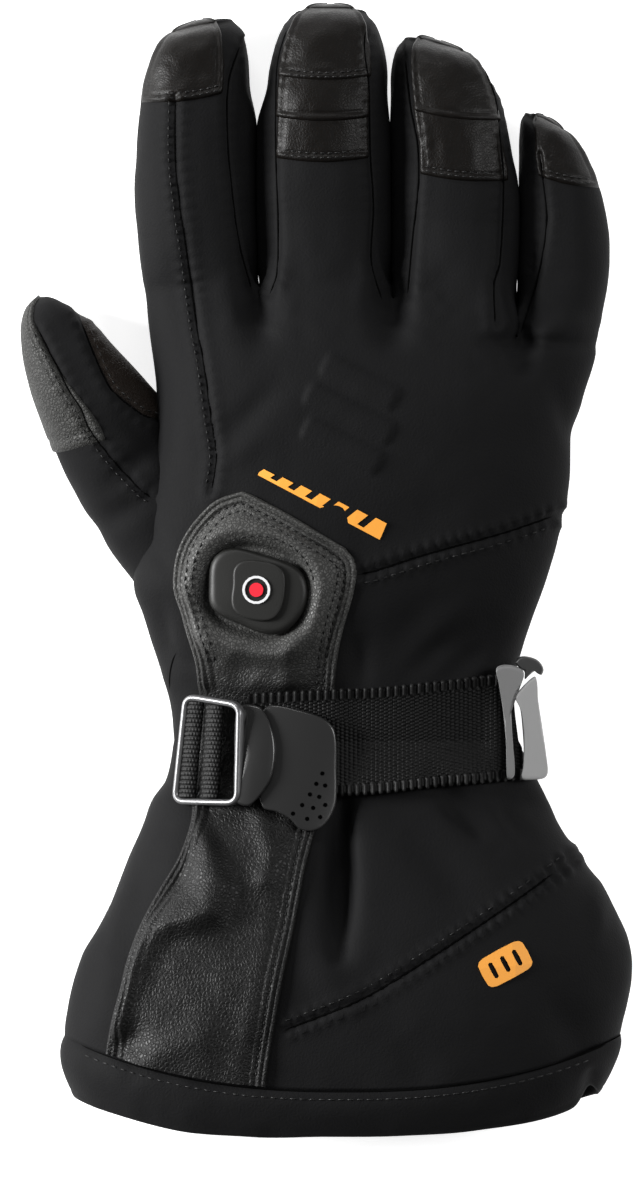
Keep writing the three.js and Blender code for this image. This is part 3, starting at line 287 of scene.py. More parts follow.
# Seams of the shell in the outline plane (mm): sunk lines with small puckers on both sides
STRIP_SEAM = [(-42.8, 182.7), (-43, 167), (-41.9, 154.5), (-39.3, 135.7), (-36.8, 117.4), (-34.8, 107.2),
              (-32.5, 90.3), (-31.1, 80.1), (-32.5, 70.7)]
SHELL_SEAMS = [
    STRIP_SEAM,
    [(-24.2, 198.9), (-27.4, 189), (-28.2, 181.5), (-27.9, 168.2), (-25.9, 148.2), (-24.2, 138.8), (-21.1, 127.7)],
    [(-10.3, 205.2), (-13.7, 193.2), (-14.3, 179.6), (-14.3, 167), (-13.7, 148.2), (-14, 132.5), (-16.2, 126.3)],
    [(12, 206.3), (10.8, 197.2), (12, 187), (12.5, 167), (13.4, 151.3), (12.8, 135.7), (16, 124.5)],
    [(22.5, 194.4), (23.9, 180.7), (25.9, 169.6), (26.2, 158.5), (24.5, 141.9), (23.1, 126)],
    [(42.8, 196.1), (47.9, 183.3), (49.3, 172.4), (50.4, 158.5), (49.3, 135.7), (47.6, 129.4), (47.9, 117.7)],
    [(60.7, 166.7), (62.7, 148.8), (60.7, 133.7), (55.3, 115.1)],
    [(8.8, 47), (14, 48.2), (27.9, 52.7), (50.7, 59), (67.3, 64.7)],
    [(-11.7, -81.2), (10.8, -72.1), (31.1, -59.8), (53.6, -45), (70.7, -32.8)],
]
PUCKERS = [0.36, 0.12, 0.12, 0.12, 0.12, 0.12, 0.12, 0.6, 0.75]
CROTCHES = [(-18.5, 127), (19.3, 127), (54, 116)]


def shell_relief(p):
    """Height that the shell stands off its plain form: seam grooves with puckers, crumples at the finger
    roots, and soft unevenness of the wadding."""
    x, y, z = p[..., 0], p[..., 1], p[..., 2]
    upper = smooth((z - 6) / 8)
    rise = 0.8 * noise(p, 31, 3) + 0.35 * noise(p, 13, 5) + 0.1 * noise(p, 5, 8)
    for i, line in enumerate(SHELL_SEAMS):
        off, run = line_distance(line, x, y)
        off = np.abs(off)
        pucker = np.sin(2 * np.pi * run / 3.4 + 2 * noise(p, 15, 20 + i)) * np.exp(-(((off - 1.9) / 1.3) ** 2))
        ridge = 0.35 * np.exp(-(((off - 2.2) / 1.8) ** 2))
        rise += upper * (PUCKERS[i] * pucker - 0.8 * np.exp(-((off / 0.8) ** 2)) + ridge)
    for left, right in ((1, 2), (3, 4), (5, 6)):
        inside = np.minimum(line_distance(SHELL_SEAMS[left], x, y)[0], -line_distance(SHELL_SEAMS[right], x, y)[0])
        rise -= upper * 0.9 * smooth((inside - 0.3) / 1.6) * smooth((y - 122) / 14)
    rise -= upper * crease(SMALL_FOLDS, x, y)
    for cx, cy, half_long, half_wide in PRESSED_BARS:
        a = (x - cx) * math.cos(PRESSED_TURN) + (y - cy) * math.sin(PRESSED_TURN)
        b = -(x - cx) * math.sin(PRESSED_TURN) + (y - cy) * math.cos(PRESSED_TURN)
        off = np.hypot(np.maximum(np.abs(a) - half_long + 1.5, 0), np.maximum(np.abs(b) - half_wide + 1.5, 0)) - 1.5
        rise += 0.85 * smooth(0.5 - off / 1.3)
    for cx, cy in CROTCHES:
        near = np.exp(-(((x - cx) / 13) ** 2 + ((y - cy) / 12) ** 2))
        rise += near * (1.1 * noise(p, 7, 31) + 0.4 * noise(p, 3.4, 33))
    lower = smooth((z - 2) / 5) * smooth((25 - z) / 7) * smooth((y - 126) / 8)
    for left, right, top in (("index", "middle", 188), ("middle", "ring", 188), ("ring", "little", 168)):
        middle = (side_of(left, y, 1) + side_of(right, y, -1)) / 2
        off = np.abs(x - middle)
        rise = mix(rise, np.clip(off + 0.05, 0, 3.6), lower * smooth((4.4 - off) / 1.2) * smooth((top - y) / 14))
    return rise


# Outline of the leather patch that covers the shell from the back of the hand to the hem
# along, across at the left edge, across at the right edge
PATCH_ROWS = [
    (-0.872, -0.842, -0.275), (-0.845, -0.84, -0.275), (-0.7, -0.83, -0.272), (-0.593, -0.83, -0.266),
    (-0.47, -0.82, -0.248), (-0.375, -0.798, -0.228), (-0.286, -0.762, -0.196), (-0.189, -0.77, -0.15),
    (-0.101, -0.82, -0.1), (0, -0.84, -0.078), (0.127, -0.8, -0.026), (0.191, -0.78, 0.002),
    (0.261, -0.793, 0.034), (0.341, -0.797, 0.078), (0.395, -0.797, 0.07), (0.434, -0.79, 0.005),
    (0.468, -0.77, -0.13), (0.495, -0.745, -0.236), (0.52, -0.71, -0.34), (0.54, -0.67, -0.43),
    (0.552, -0.625, -0.48), (0.56, -0.57, -0.52), (0.563, -0.545, -0.544),
]
patch_along = np.linspace(PATCH_ROWS[0][0], PATCH_ROWS[-1][0], 90)
patch_sides = [body_point(patch_along, top_turn(read(PATCH_ROWS, patch_along, k)))[:, :2] for k in (1, 2)]
PATCH_OUTLINE = [tuple(p) for p in np.concatenate([patch_sides[0], patch_sides[1][::-1], patch_sides[0][:1]])]


def below_patch(p):
    """Depth to which the patch presses the shell: full from 4 mm inside its outline."""
    inside = -line_distance(PATCH_OUTLINE, p[:, 0], p[:, 1])[0]
    return 2.6 * smooth((inside - 1) / 3) * smooth((p[:, 2] - 14) / 6)


def grid_faces(rows, columns, closed, base=0):
    """Quads of a grid of points, row by row, outward when rows go up and columns go right."""
    i, j = np.meshgrid(np.arange(rows - 1), np.arange(columns if closed else columns - 1), indexing="ij")
    a = i * columns + j
    b = i * columns + (j + 1) % columns
    return np.stack([a, b, b + columns, a + columns], -1).reshape(-1, 4) + base


def normals_of(points, faces):
    """Unit normal at each point: the sum of the cross products of the diagonals of its quads."""
    p = points[faces]
    cross = np.cross(p[:, 2] - p[:, 0], p[:, 3] - p[:, 1])
    total = np.zeros(points.shape)
    for k in range(4):
        np.add.at(total, faces[:, k], cross)
    return total / np.maximum(np.linalg.norm(total, axis=1), 1e-9)[:, None]


def hand_front(turn):
    """Share of the hand's length at which its front edge lies: lower beside the little finger."""
    c = np.cos(2 * np.pi * turn)
    s = np.sin(2 * np.pi * turn)
    across = -np.sign(c) * np.abs(c) ** (2 / np.where(s >= 0, UPPER_POWER, LOWER_POWER))
    return 1 - 0.0885 * smooth((across - 0.2) / 0.43)


def comb():
    """The whole shell as one net of quads. Columns run from the hem to the front; there each finger's
    ring takes its columns above and below and a straight line between neighbours, and turns into the
    finger's own section over its first third, setting off in the direction of the hand."""
    cuts = [-0.93, -0.49, 0.094, 0.633, 0.93]
    tops, unders, sides = [30, 38, 36, 24], [14, 16, 16, 12], 14
    turns = [np.linspace(under_turn(-0.93) - 1, top_turn(-0.93), sides, endpoint=False)]
    for k in range(4):
        turns.append(np.linspace(top_turn(cuts[k]), top_turn(cuts[k + 1]), tops[k], endpoint=False))
    turns.append(np.linspace(top_turn(0.93), under_turn(0.93), sides, endpoint=False))
    for k in (3, 2, 1, 0):
        turns.append(np.linspace(under_turn(cuts[k + 1]), under_turn(cuts[k]), unders[k], endpoint=False))
    first = np.cumsum([0] + [len(t) for t in turns])
    turns = np.concatenate(turns)
    columns = len(turns)
    cuff = np.linspace(BAND_FROM, 0, 101)[:-1]
    share = np.linspace(0, 1, 106)
    rows = [np.full(columns, a) for a in cuff] + [s * hand_front(turns) for s in share]
    points = [body_point(a, turns) for a in rows]
    front = (len(rows) - 1) * columns
    net = [grid_faces(len(rows), columns, True)]
    part = [np.repeat(np.where(np.arange(len(rows) - 1) < len(cuff), 0, 1), columns)]
    under = [np.tile(np.arange(columns) >= first[6], len(rows) - 1)]
    points = [p for p in points]
    count = len(rows) * columns
    front_points = points[-1]
    top_at = [first[1 + k] for k in range(4)] + [first[5]]
    under_at = [first[9 - k] for k in range(4)]
    low_at = {0: 0, 1: first[9], 2: first[8], 3: first[7], 4: first[6]}
    step = points[-1] - points[-2]
    lead = [step / step[:, 1:2]]
    crotch = {}
    for k in (1, 2, 3):
        a, b = front_points[top_at[k]], front_points[low_at[k]]
        t = np.linspace(0, 1, sides + 1)[1:-1, None]
        crotch[k] = np.arange(count, count + sides - 1)
        points.append(a + (b - a) * t)
        lead.append(mix(lead[0][top_at[k]], lead[0][low_at[k]], t))
        count += sides - 1
    lead = np.concatenate(lead)
    for k, name in enumerate(FINGERS):
        ring = [front + np.arange(top_at[k], top_at[k + 1] + 1)]
        ring.append(crotch[k + 1] if k < 3 else front + np.arange(first[5] + 1, first[6]))
        low = np.arange(low_at[k + 1], low_at[k + 1] + unders[k] + 1) % columns
        ring.append(front + low)
        ring.append(crotch[k][::-1] if k else front + np.arange(1, first[1]))
        turn = np.concatenate([
            np.linspace(top_turn(-STRIP), top_turn(STRIP), tops[k] + 1),
            np.linspace(top_turn(STRIP), under_turn(STRIP), sides + 1)[1:-1],
            np.linspace(under_turn(STRIP), under_turn(-STRIP), unders[k] + 1),
            np.linspace(under_turn(-STRIP), 1 + top_turn(-STRIP), sides + 1)[1:-1],
        ])
        ring = np.concatenate(ring)
        size = len(ring)
        everything = np.concatenate(points)
        root = everything[ring]
        ahead = lead[ring - front] * FINGERS[name][4]
        along = np.concatenate([np.linspace(0, 1, 92)[1:], 1 + TIP_TURN * np.linspace(0, 1, 9)[1:-1]])
        for s in along:
            points.append(mix(root + ahead * s * math.exp(-s / 0.16), finger_point(name, s, turn), smooth(s / 0.3)))
        tip = finger_point(name, 1 + TIP_TURN, np.array([0.25]))
        points.append(tip)
        quads = grid_faces(len(along), size, True, count)
        start = np.stack([ring, np.roll(ring, -1), count + np.roll(np.arange(size), -1), count + np.arange(size)], -1)
        last = count + (len(along) - 1) * size
        middle = np.full(size, count + len(along) * size)
        end = np.stack([last + np.arange(size), last + np.roll(np.arange(size), -1), middle, middle], -1)
        net += [start, quads, end]
        low_from = tops[k] + 1 + sides - 1
        is_low = (np.arange(size) >= low_from) & (np.arange(size) < low_from + unders[k])
        part.append(np.full(size * (len(along) + 1), 1))
        under.append(np.tile(is_low, len(along) + 1))
        count += len(along) * size + 1
    return np.concatenate(points), np.concatenate(net), np.concatenate(part), np.concatenate(under)


def add_piece(name, points, faces, finish, slot, nodes=(), smooth_faces=True, values=None):
    """Object in the frame's metres from points in millimetres and faces of three or four corners."""
    used, corners = np.unique(faces, return_inverse=True)
    corners = corners.reshape(faces.shape)
    mesh = bpy.data.meshes.new(name)
    verts = (points[used] + WRIST_AT) / 1000
    triangle = corners[:, 2] == corners[:, -1] if corners.shape[1] == 4 else np.ones(len(corners), bool)
    listed = [tuple(f[:3]) if t else tuple(f) for f, t in zip(corners.tolist(), triangle)]
    mesh.from_pydata(verts.tolist(), [], listed)
    mesh.polygons.foreach_set("use_smooth", np.full(len(listed), smooth_faces))
    for key, value in (values or {}).items():
        value = np.asarray(value, float)[used]
        kind = "FLOAT" if value.ndim == 1 else "FLOAT_VECTOR"
        layer = mesh.attributes.new(key, kind, "POINT")
        layer.data.foreach_set("value" if value.ndim == 1 else "vector", value.ravel())
    mesh.materials.append(finish)
    obj = bpy.data.objects.new(name, mesh)
    bpy.context.scene.collection.objects.link(obj)
    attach(obj, "root")
    if nodes:
        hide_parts(*nodes)
    return obj


def node(tree, kind, inputs=None, **settings):
    """A shader node with its settings; an input is a value or another node's output."""
    made = tree.nodes.new(kind)
    for key, value in settings.items():
        setattr(made, key, value)
    for key, value in (inputs or {}).items():
        socket = made.inputs[key]
        if isinstance(value, bpy.types.NodeSocket):
            tree.links.new(value, socket)
        else:
            socket.default_value = value
    return made


def new_material(name, colour, roughness, **more):
    """Material with one Principled shader; more sets its other inputs by name with _ for a space."""
    made = bpy.data.materials.new(name)
    made.use_nodes = True
    shader = made.node_tree.nodes["Principled BSDF"]
    shader.inputs["Base Color"].default_value = (*colour, 1)
    shader.inputs["Roughness"].default_value = roughness
    for key, value in more.items():
        shader.inputs[key.replace("_", " ")].default_value = value
    return made, made.node_tree, shader


def grain_group():
    """Leather grain: small cells with sunk borders, uneven in size, as a height and a border mask."""
    tree = bpy.data.node_groups.new("Grain", "ShaderNodeTree")
    face = tree.interface
    face.new_socket("Vector", in_out="INPUT", socket_type="NodeSocketVector")
    face.new_socket("Cells per metre", in_out="INPUT", socket_type="NodeSocketFloat")
    face.new_socket("Crease", in_out="INPUT", socket_type="NodeSocketFloat")
    face.new_socket("Height", in_out="OUTPUT", socket_type="NodeSocketFloat")
    face.new_socket("Border", in_out="OUTPUT", socket_type="NodeSocketFloat")
    start = node(tree, "NodeGroupInput")
    warp = node(tree, "ShaderNodeTexNoise", {"Vector": start.outputs["Vector"], "Scale": 260, "Detail": 2})
    push = node(tree, "ShaderNodeVectorMath", {0: warp.outputs["Color"]}, operation="SCALE")
    push.inputs["Scale"].default_value = 0.0016
    moved = node(tree, "ShaderNodeVectorMath", {0: start.outputs["Vector"], 1: push.outputs[0]}, operation="ADD")
    cells = node(tree, "ShaderNodeTexVoronoi", {"Vector": moved.outputs[0], "Scale": start.outputs["Cells per metre"]},
                 feature="DISTANCE_TO_EDGE")
    dome = node(tree, "ShaderNodeMapRange", {"Value": cells.outputs["Distance"], 1: 0.0, 2: 0.28, 3: 0.0, 4: 1.0},
                interpolation_type="SMOOTHSTEP")
    fine = node(tree, "ShaderNodeTexNoise", {"Vector": start.outputs["Vector"], "Scale": 900, "Detail": 3})
    fine_part = node(tree, "ShaderNodeMath", {0: fine.outputs["Fac"], 1: 0.35}, operation="MULTIPLY")
    wide = node(tree, "ShaderNodeTexNoise", {"Vector": start.outputs["Vector"], "Scale": 70, "Detail": 4})
    wide_part = node(tree, "ShaderNodeMath", {0: wide.outputs["Fac"], 1: start.outputs["Crease"]}, operation="MULTIPLY")
    one = node(tree, "ShaderNodeMath", {0: dome.outputs[0], 1: fine_part.outputs[0]}, operation="ADD")
    both = node(tree, "ShaderNodeMath", {0: one.outputs[0], 1: wide_part.outputs[0]}, operation="ADD")
    low = node(tree, "ShaderNodeMath", {0: 1.0, 1: dome.outputs[0]}, operation="SUBTRACT")
    end = node(tree, "NodeGroupOutput")
    tree.links.new(both.outputs[0], end.inputs["Height"])
    tree.links.new(low.outputs[0], end.inputs["Border"])
    return tree


GRAIN = grain_group()


def leather(name, dark, light, roughness, cells, bump, crease_share=1.2, rough_border=0.2, spec=0.5, grey=0):
    """Leather: cells from the grain group raise the surface, and their borders are darker and duller.
    A painted highlight is added to its colour: a grey of the given level, mixed in where the mesh's own value for it is
    1."""
    made, tree, shader = new_material(name, dark, roughness, Specular_IOR_Level=spec)
    place = node(tree, "ShaderNodeTexCoord")
    grain = node(tree, "ShaderNodeGroup", {}, node_tree=GRAIN)
    tree.links.new(place.outputs["Object"], grain.inputs["Vector"])
    grain.inputs["Cells per metre"].default_value = cells
    grain.inputs["Crease"].default_value = crease_share
    patches = node(tree, "ShaderNodeTexNoise", {"Vector": place.outputs["Object"], "Scale": 45, "Detail": 5})
    colour = node(tree, "ShaderNodeMix", {0: patches.outputs["Fac"]}, data_type="RGBA")
    colour.inputs[6].default_value = (*dark, 1)
    colour.inputs[7].default_value = (*light, 1)
    # Painted highlight: the colour is mixed towards a paler grey by the mesh's own mask.
    if grey:
        value = node(tree, "ShaderNodeAttribute", attribute_name="grey")
        highlighted = node(tree, "ShaderNodeMix", {0: value.outputs["Fac"], 6: colour.outputs[2]}, data_type="RGBA")
        highlighted.inputs[7].default_value = (grey, grey, grey * 0.96, 1)
        colour = highlighted
    sunk = node(tree, "ShaderNodeMix", {0: grain.outputs["Border"], 6: colour.outputs[2]}, data_type="RGBA",
                blend_type="MULTIPLY")
    sunk.inputs[7].default_value = (0.4, 0.4, 0.4, 1)
    tree.links.new(sunk.outputs[2], shader.inputs["Base Color"])
    rough = node(tree, "ShaderNodeMapRange", {"Value": grain.outputs["Border"], 3: roughness, 4: roughness + rough_border})
    tree.links.new(rough.outputs[0], shader.inputs["Roughness"])
    raised = node(tree, "ShaderNodeBump", {"Height": grain.outputs["Height"], "Strength": 1.0, "Distance": bump})
    tree.links.new(raised.outputs[0], shader.inputs["Normal"])
    return made


def softshell_material():
    """Softshell: near-black matt face of very fine crossed threads with a faint nap."""
    made, tree, shader = new_material("softshell", (0.0062, 0.0062, 0.0065), 0.7, Specular_IOR_Level=0.05)
    place = node(tree, "ShaderNodeTexCoord")
    threads = node(tree, "ShaderNodeTexNoise", {"Vector": place.outputs["Object"], "Scale": 1600, "Detail": 2})
    soft = node(tree, "ShaderNodeTexNoise", {"Vector": place.outputs["Object"], "Scale": 90, "Detail": 4})
    total = node(tree, "ShaderNodeMath", {0: soft.outputs["Fac"], 1: threads.outputs["Fac"]}, operation="ADD")
    raised = node(tree, "ShaderNodeBump", {"Height": total.outputs[0], "Strength": 0.6, "Distance": 0.00022})
    tree.links.new(raised.outputs[0], shader.inputs["Normal"])
    return made


SOFTSHELL = softshell_material()
PALM_LEATHER = leather("palm_leather", (0.0055, 0.0045, 0.0038), (0.010, 0.008, 0.0067), 0.5, 900, 0.00012, spec=0.3)
CAP_LEATHER = leather("cap_leather", (0.0028, 0.0020, 0.0015), (0.0045, 0.0034, 0.0025), 0.4, 1100, 0.00003, 1.6, 0.1, 0.14)
GREY_LEATHER = leather("grey_leather", (0.009, 0.009, 0.008), (0.022, 0.022, 0.0195), 0.55, 1000, 0.00012, spec=0.3)
# The patch leather's last value is the grey of a painted highlight on the back of the hand.
PATCH_LEATHER = leather("patch_leather", (0.0022, 0.0022, 0.0022), (0.0042, 0.0042, 0.004), 0.42, 950, 0.00009, 0.8, 0.2, 0.19, 0.055)

shell_points, shell_faces, shell_part, shell_under = comb()
shell_normals = normals_of(shell_points, shell_faces)
shell_points = shell_points + shell_normals * (shell_relief(shell_points) - below_patch(shell_points))[:, None]
shell_points[:, 2] = np.maximum(shell_points[:, 2], 0.0)

hand = add_piece("hand_shell", shell_points, shell_faces[(shell_part == 1) & ~shell_under], SOFTSHELL, "softshell",
                 ("back_panel", "index_finger", "middle_finger", "ring_finger", "little_finger"))

# Palm: brown-black leather under the hand and fingers, the side that the glove rests on
palm = add_piece("hand_palm", shell_points, shell_faces[(shell_part == 1) & shell_under], PALM_LEATHER,
                 "palm_leather", ("palm_panel",))

# Gauntlet: the flared cuff, softshell above and leather below on the glove but all in the softshell material here, with
# an inner face that shows at the mouth
gauntlet = add_piece("gauntlet", shell_points, shell_faces[shell_part == 0], SOFTSHELL, "softshell",
                     ("cuff_back", "cuff_palm"))
wall = gauntlet.modifiers.new("wall", "SOLIDIFY")
wall.thickness = 0.0026
wall.offset = -1

# Hem band: a bound strip of the shell round the mouth, swollen by its wadding and turned in below


def hem_band():
    """Closed section from the hem seam to the mouth: rows swell by a half sine, then turn in round the
    edge and go back up inside."""
    turn = np.linspace(0, 1, 220, endpoint=False)
    rows = []
    for t in np.linspace(0, 1, 26):
        along = mix(BAND_FROM, -0.985, t)
        swell = 1.5 * math.sin(math.pi * min(max(t, 0.02), 1) ** 0.8) ** 0.8 - 0.3
        rows.append((along, swell))
    for angle in np.linspace(0, math.pi, 10)[1:]:
        rows.append((-0.985 - 0.015 * math.sin(angle), -0.3 - 1.6 * (1 - math.cos(angle)) / 2 * 1.2))
    for t in np.linspace(0, 1, 10)[1:]:
        rows.append((mix(-0.985, BAND_FROM + 0.02, t), -2.4))
    points = []
    for along, grow in rows:
        ring = body_point(np.full(turn.shape, along), turn)
        half, middle, high, y, bow = body_size(np.float64(along))
        centre = np.array([float(middle), 0, float(high) * WIDEST_SHARE])
        out = (ring - centre) * [1 / float(half), 0, 1 / (float(high) * 0.6)]
        out /= np.maximum(np.linalg.norm(out, axis=1), 1e-6)[:, None]
        points.append(ring + out * grow)
    points = np.concatenate(points)
    ripple = noise(points, 14, 41) * 0.5 + noise(points, 5, 43) * 0.25
    points[:, 2] += ripple
    to_mouth = np.repeat([smooth((BAND_FROM - 0.02 - along) / 0.09) for along, grow in rows], len(turn))
    points[:, 1] += to_mouth * 1.6 * noise(points * [1, 0.1, 0.3], 21, 47)
    upper = smooth((points[:, 2] - 18) / 6)
    points[:, 1] += to_mouth * upper * 4.5 * np.exp(-(((points[:, 0] - 74.5) / 2.6) ** 2))
    points[:, 2] = np.maximum(points[:, 2], 0)
    return points, grid_faces(len(rows), len(turn), True)[:, ::-1]


band_points, band_faces = hem_band()
band = add_piece("mouth_band", band_points, band_faces, SOFTSHELL, "softshell", ("hem_band",))

# Leather finger ends: each is let into the top of its finger between the side seams, in one to three
# overlapping bands, with a turned edge over the softshell
# finger, across at left and right (lower end), same at the tip, band starts
CAPS = [
    ("index", -0.97, 0.5, -0.9, 0.55, [0.74]),
    ("middle", -0.76, 0.7, -0.66, 0.6, [0.49, 0.63, 0.77]),
    ("ring", -0.6, 0.86, -0.66, 0.8, [0.48, 0.72]),
    ("little", -0.6, 0.96, -0.5, 0.9, [0.72]),
]


def cap_sheet(name, left, right, tip_left, tip_right, from_along, to_along, lift):
    """Leather sheet on a finger: places of the tube between two seam lines, raised by its thickness,
    with all four edges rounded down to the shell."""
    v = np.linspace(0, 1, int(34 + 120 * (to_along - from_along)))[:, None]
    u = np.linspace(0, 1, 46)[None, :]
    arch = 0.018 * (1 - (2 * u - 1) ** 2)
    along = mix(from_along - arch, to_along, v)
    t = smooth((along - from_along) / 0.5)
    across = mix(mix(left, tip_left, t), mix(right, tip_right, t), u)
    across, along = np.broadcast_arrays(across, along)
    base = finger_point(name, along, top_turn(across))
    length, half = FINGERS[name][4], FINGERS[name][5] / 2
    side = np.minimum(u, 1 - u) * (right - left) * half
    down = v * (to_along - from_along) * length
    edge = np.minimum(side, down)
    rise = lift * np.sqrt(np.clip(1 - (1 - np.clip(edge / 0.9, 0, 1)) ** 2, 0, 1)) - 0.25
    rise = rise - 0.25 * np.exp(-(((edge - 2.2) / 0.5) ** 2)) * smooth(edge) + 0.25 * np.exp(-(((edge - 1.2) / 0.6) ** 2))
    rows, columns = across.shape
    points = base.reshape(-1, 3)
    faces = grid_faces(rows, columns, False)
    out = normals_of(points, faces)
    puff = shell_relief(points) + rise.ravel() + 0.22 * noise(points, 6, 51) + 0.12 * noise(points, 2.6, 53)
    return points + out * puff[:, None], faces


cap_surfaces = []
for name, left, right, tip_left, tip_right, bands in CAPS:
    sheets, base = [], 0
    for level, start in enumerate(bands):
        end = bands[level + 1] + 0.03 if level + 1 < len(bands) else 1 + TIP_TURN * 0.9
        p, f = cap_sheet(name, left, right, tip_left, tip_right, start, end, 0.9 + 0.4 * level)
        sheets.append((p, f + base))
        base += len(p)
    p, f = np.concatenate([s[0] for s in sheets]), np.concatenate([s[1] for s in sheets])
    cap_surfaces.append((p, f))
    add_piece(name + "_tip_leather", p, f, CAP_LEATHER, "cap_leather", (name + "_cap",))

# Thumb: softshell back, leather inside and below, with a pebbled grey patch on its outer side
THUMB_AT = (-47.6, 36.4)
THUMB_LENGTH = 96
THUMB_WIDTH = 34.8
THUMB_HEIGHT = 31
THUMB_LEAN = math.radians(20.2)
# along, width, height, shift across
THUMB_ROWS = [
    (0, 0.9, 0.9, 0.42), (0.26, 1, 1, 0.27), (0.465, 1, 1, 0.16), (0.585, 0.98, 1, 0.14), (0.66, 0.9, 1, 0.1),
    (0.74, 0.8, 0.98, 0.055), (0.8, 0.71, 0.95, 0.03), (0.848, 0.64, 0.9, 0.015), (0.89, 0.56, 0.84, 0),
    (0.927, 0.46, 0.76, -0.02), (0.96, 0.35, 0.64, -0.03), (0.985, 0.24, 0.5, -0.03), (1, 0.12, 0.34, -0.02),
]
THUMB_SEAM = [(-82.1, 117.4), (-78.4, 110), (-73.2, 99.7), (-69.5, 94), (-67.5, 88.9), (-61, 80.1), (-52.2, 70.7),
              (-48.5, 68.4)]
THUMB_INNER = [(-71.2, 123.1), (-66.1, 110), (-61, 99.7), (-52.2, 92.6), (-46.7, 91)]


def thumb_point(along, turn, grow=0):
    """Point of the thumb: superellipse sections on a straight axis that leans outwards, closed at the
    end over a quarter turn."""
    s = np.minimum(along, 1)
    half = THUMB_WIDTH / 2 * read(THUMB_ROWS, s, 1) + grow
    tall = THUMB_HEIGHT * read(THUMB_ROWS, s, 2) + grow
    across, z, upper = section(turn, tall)
    keep = np.cos(np.clip((along - 1) / TIP_TURN, 0, 1) * np.pi / 2)
    side = THUMB_WIDTH * read(THUMB_ROWS, s, 3) + across * half * keep
    forward = THUMB_LENGTH * s + 0.8 * (1 - keep)
    x = THUMB_AT[0] + side * math.cos(THUMB_LEAN) - forward * math.sin(THUMB_LEAN)
    y = THUMB_AT[1] + side * math.sin(THUMB_LEAN) + forward * math.cos(THUMB_LEAN)
    z = mix(tall * 0.5, z, keep) + 2 * smooth((s - 0.85) / 0.15)
    return np.stack(np.broadcast_arrays(x, y, z), -1)


def thumb_relief(p):
    x, y, z = p[..., 0], p[..., 1], p[..., 2]
    upper = smooth((z - 6) / 8)
    rise = 0.6 * noise(p, 22, 61) + 0.25 * noise(p, 9, 63)
    for i, line in enumerate((THUMB_SEAM, THUMB_INNER)):
        off, run = line_distance(line, x, y)
        off = np.abs(off)
        pucker = np.sin(2 * np.pi * run / 3.6 + 2 * noise(p, 15, 65 + i)) * np.exp(-(((off - 1.9) / 1.3) ** 2))
        rise += upper * (0.2 * pucker - 0.7 * np.exp(-((off / 0.7) ** 2)) + 0.3 * np.exp(-(((off - 2.2) / 1.8) ** 2)))
    return rise - crease([(-62, 72, -48, 84, 3.5, 1.6), (-66, 60, -46, 72, 4, 1.4), (-58, 92, -44, 80, 3, 1.0)], x, y)


def thumb_net():
    turn = np.linspace(0, 1, 110, endpoint=False)
    along = np.concatenate([np.linspace(0.06, 1, 110), 1 + TIP_TURN * np.linspace(0, 1, 8)[1:]])
    points = thumb_point(along[:, None], turn[None, :]).reshape(-1, 3)
    faces = grid_faces(len(along), len(turn), True)
    points = points + normals_of(points, faces) * thumb_relief(points)[:, None]
    points[:, 2] = np.maximum(points[:, 2], 0)
    return points, faces


thumb_points, thumb_faces = thumb_net()
outer_off, _ = line_distance(THUMB_SEAM, thumb_points[:, 0], thumb_points[:, 1])
inner_off, _ = line_distance(THUMB_INNER, thumb_points[:, 0], thumb_points[:, 1])
low_side = (12 - thumb_points[:, 2]) * 0.6
leather_side = np.maximum(np.maximum(inner_off, low_side), -outer_off - 30)


def two_tone(name, first, second, key):
    """Softshell that turns into leather where the named value of the mesh is above zero, both with
    their own grain."""
    made = first.copy()
    made.name = name
    tree = made.node_tree
    shader = tree.nodes["Principled BSDF"]
    value = node(tree, "ShaderNodeAttribute", attribute_name=key)
    mask = node(tree, "ShaderNodeMapRange", {"Value": value.outputs["Fac"], 1: -0.15, 2: 0.15})
    place = node(tree, "ShaderNodeTexCoord")
    grain = node(tree, "ShaderNodeGroup", {}, node_tree=GRAIN)
    tree.links.new(place.outputs["Object"], grain.inputs["Vector"])
    grain.inputs["Cells per metre"].default_value = 900
    grain.inputs["Crease"].default_value = 1
    colour = node(tree, "ShaderNodeMix", {0: mask.outputs[0]}, data_type="RGBA")
    colour.inputs[6].default_value = shader.inputs["Base Color"].default_value[:]
    colour.inputs[7].default_value = (*second, 1)
    tree.links.new(colour.outputs[2], shader.inputs["Base Color"])
    rough = node(tree, "ShaderNodeMapRange", {"Value": mask.outputs[0], 3: 0.78, 4: 0.5})
    tree.links.new(rough.outputs[0], shader.inputs["Roughness"])
    height = node(tree, "ShaderNodeMath", {0: mask.outputs[0], 1: grain.outputs["Height"]}, operation="MULTIPLY")
    before = shader.inputs["Normal"].links[0].from_socket
    raised = node(tree, "ShaderNodeBump", {"Height": height.outputs[0], "Strength": 1.0, "Distance": 0.00014,
                                           "Normal": before})
    tree.links.new(raised.outputs[0], shader.inputs["Normal"])
    return made


THUMB_CLOTH = two_tone("thumb_cloth", SOFTSHELL, (0.011, 0.0085, 0.007), "leather_side")
thumb = add_piece("thumb", thumb_points, thumb_faces, THUMB_CLOTH, "grey_leather", ("thumb_shell",),
                  values={"leather_side": leather_side})


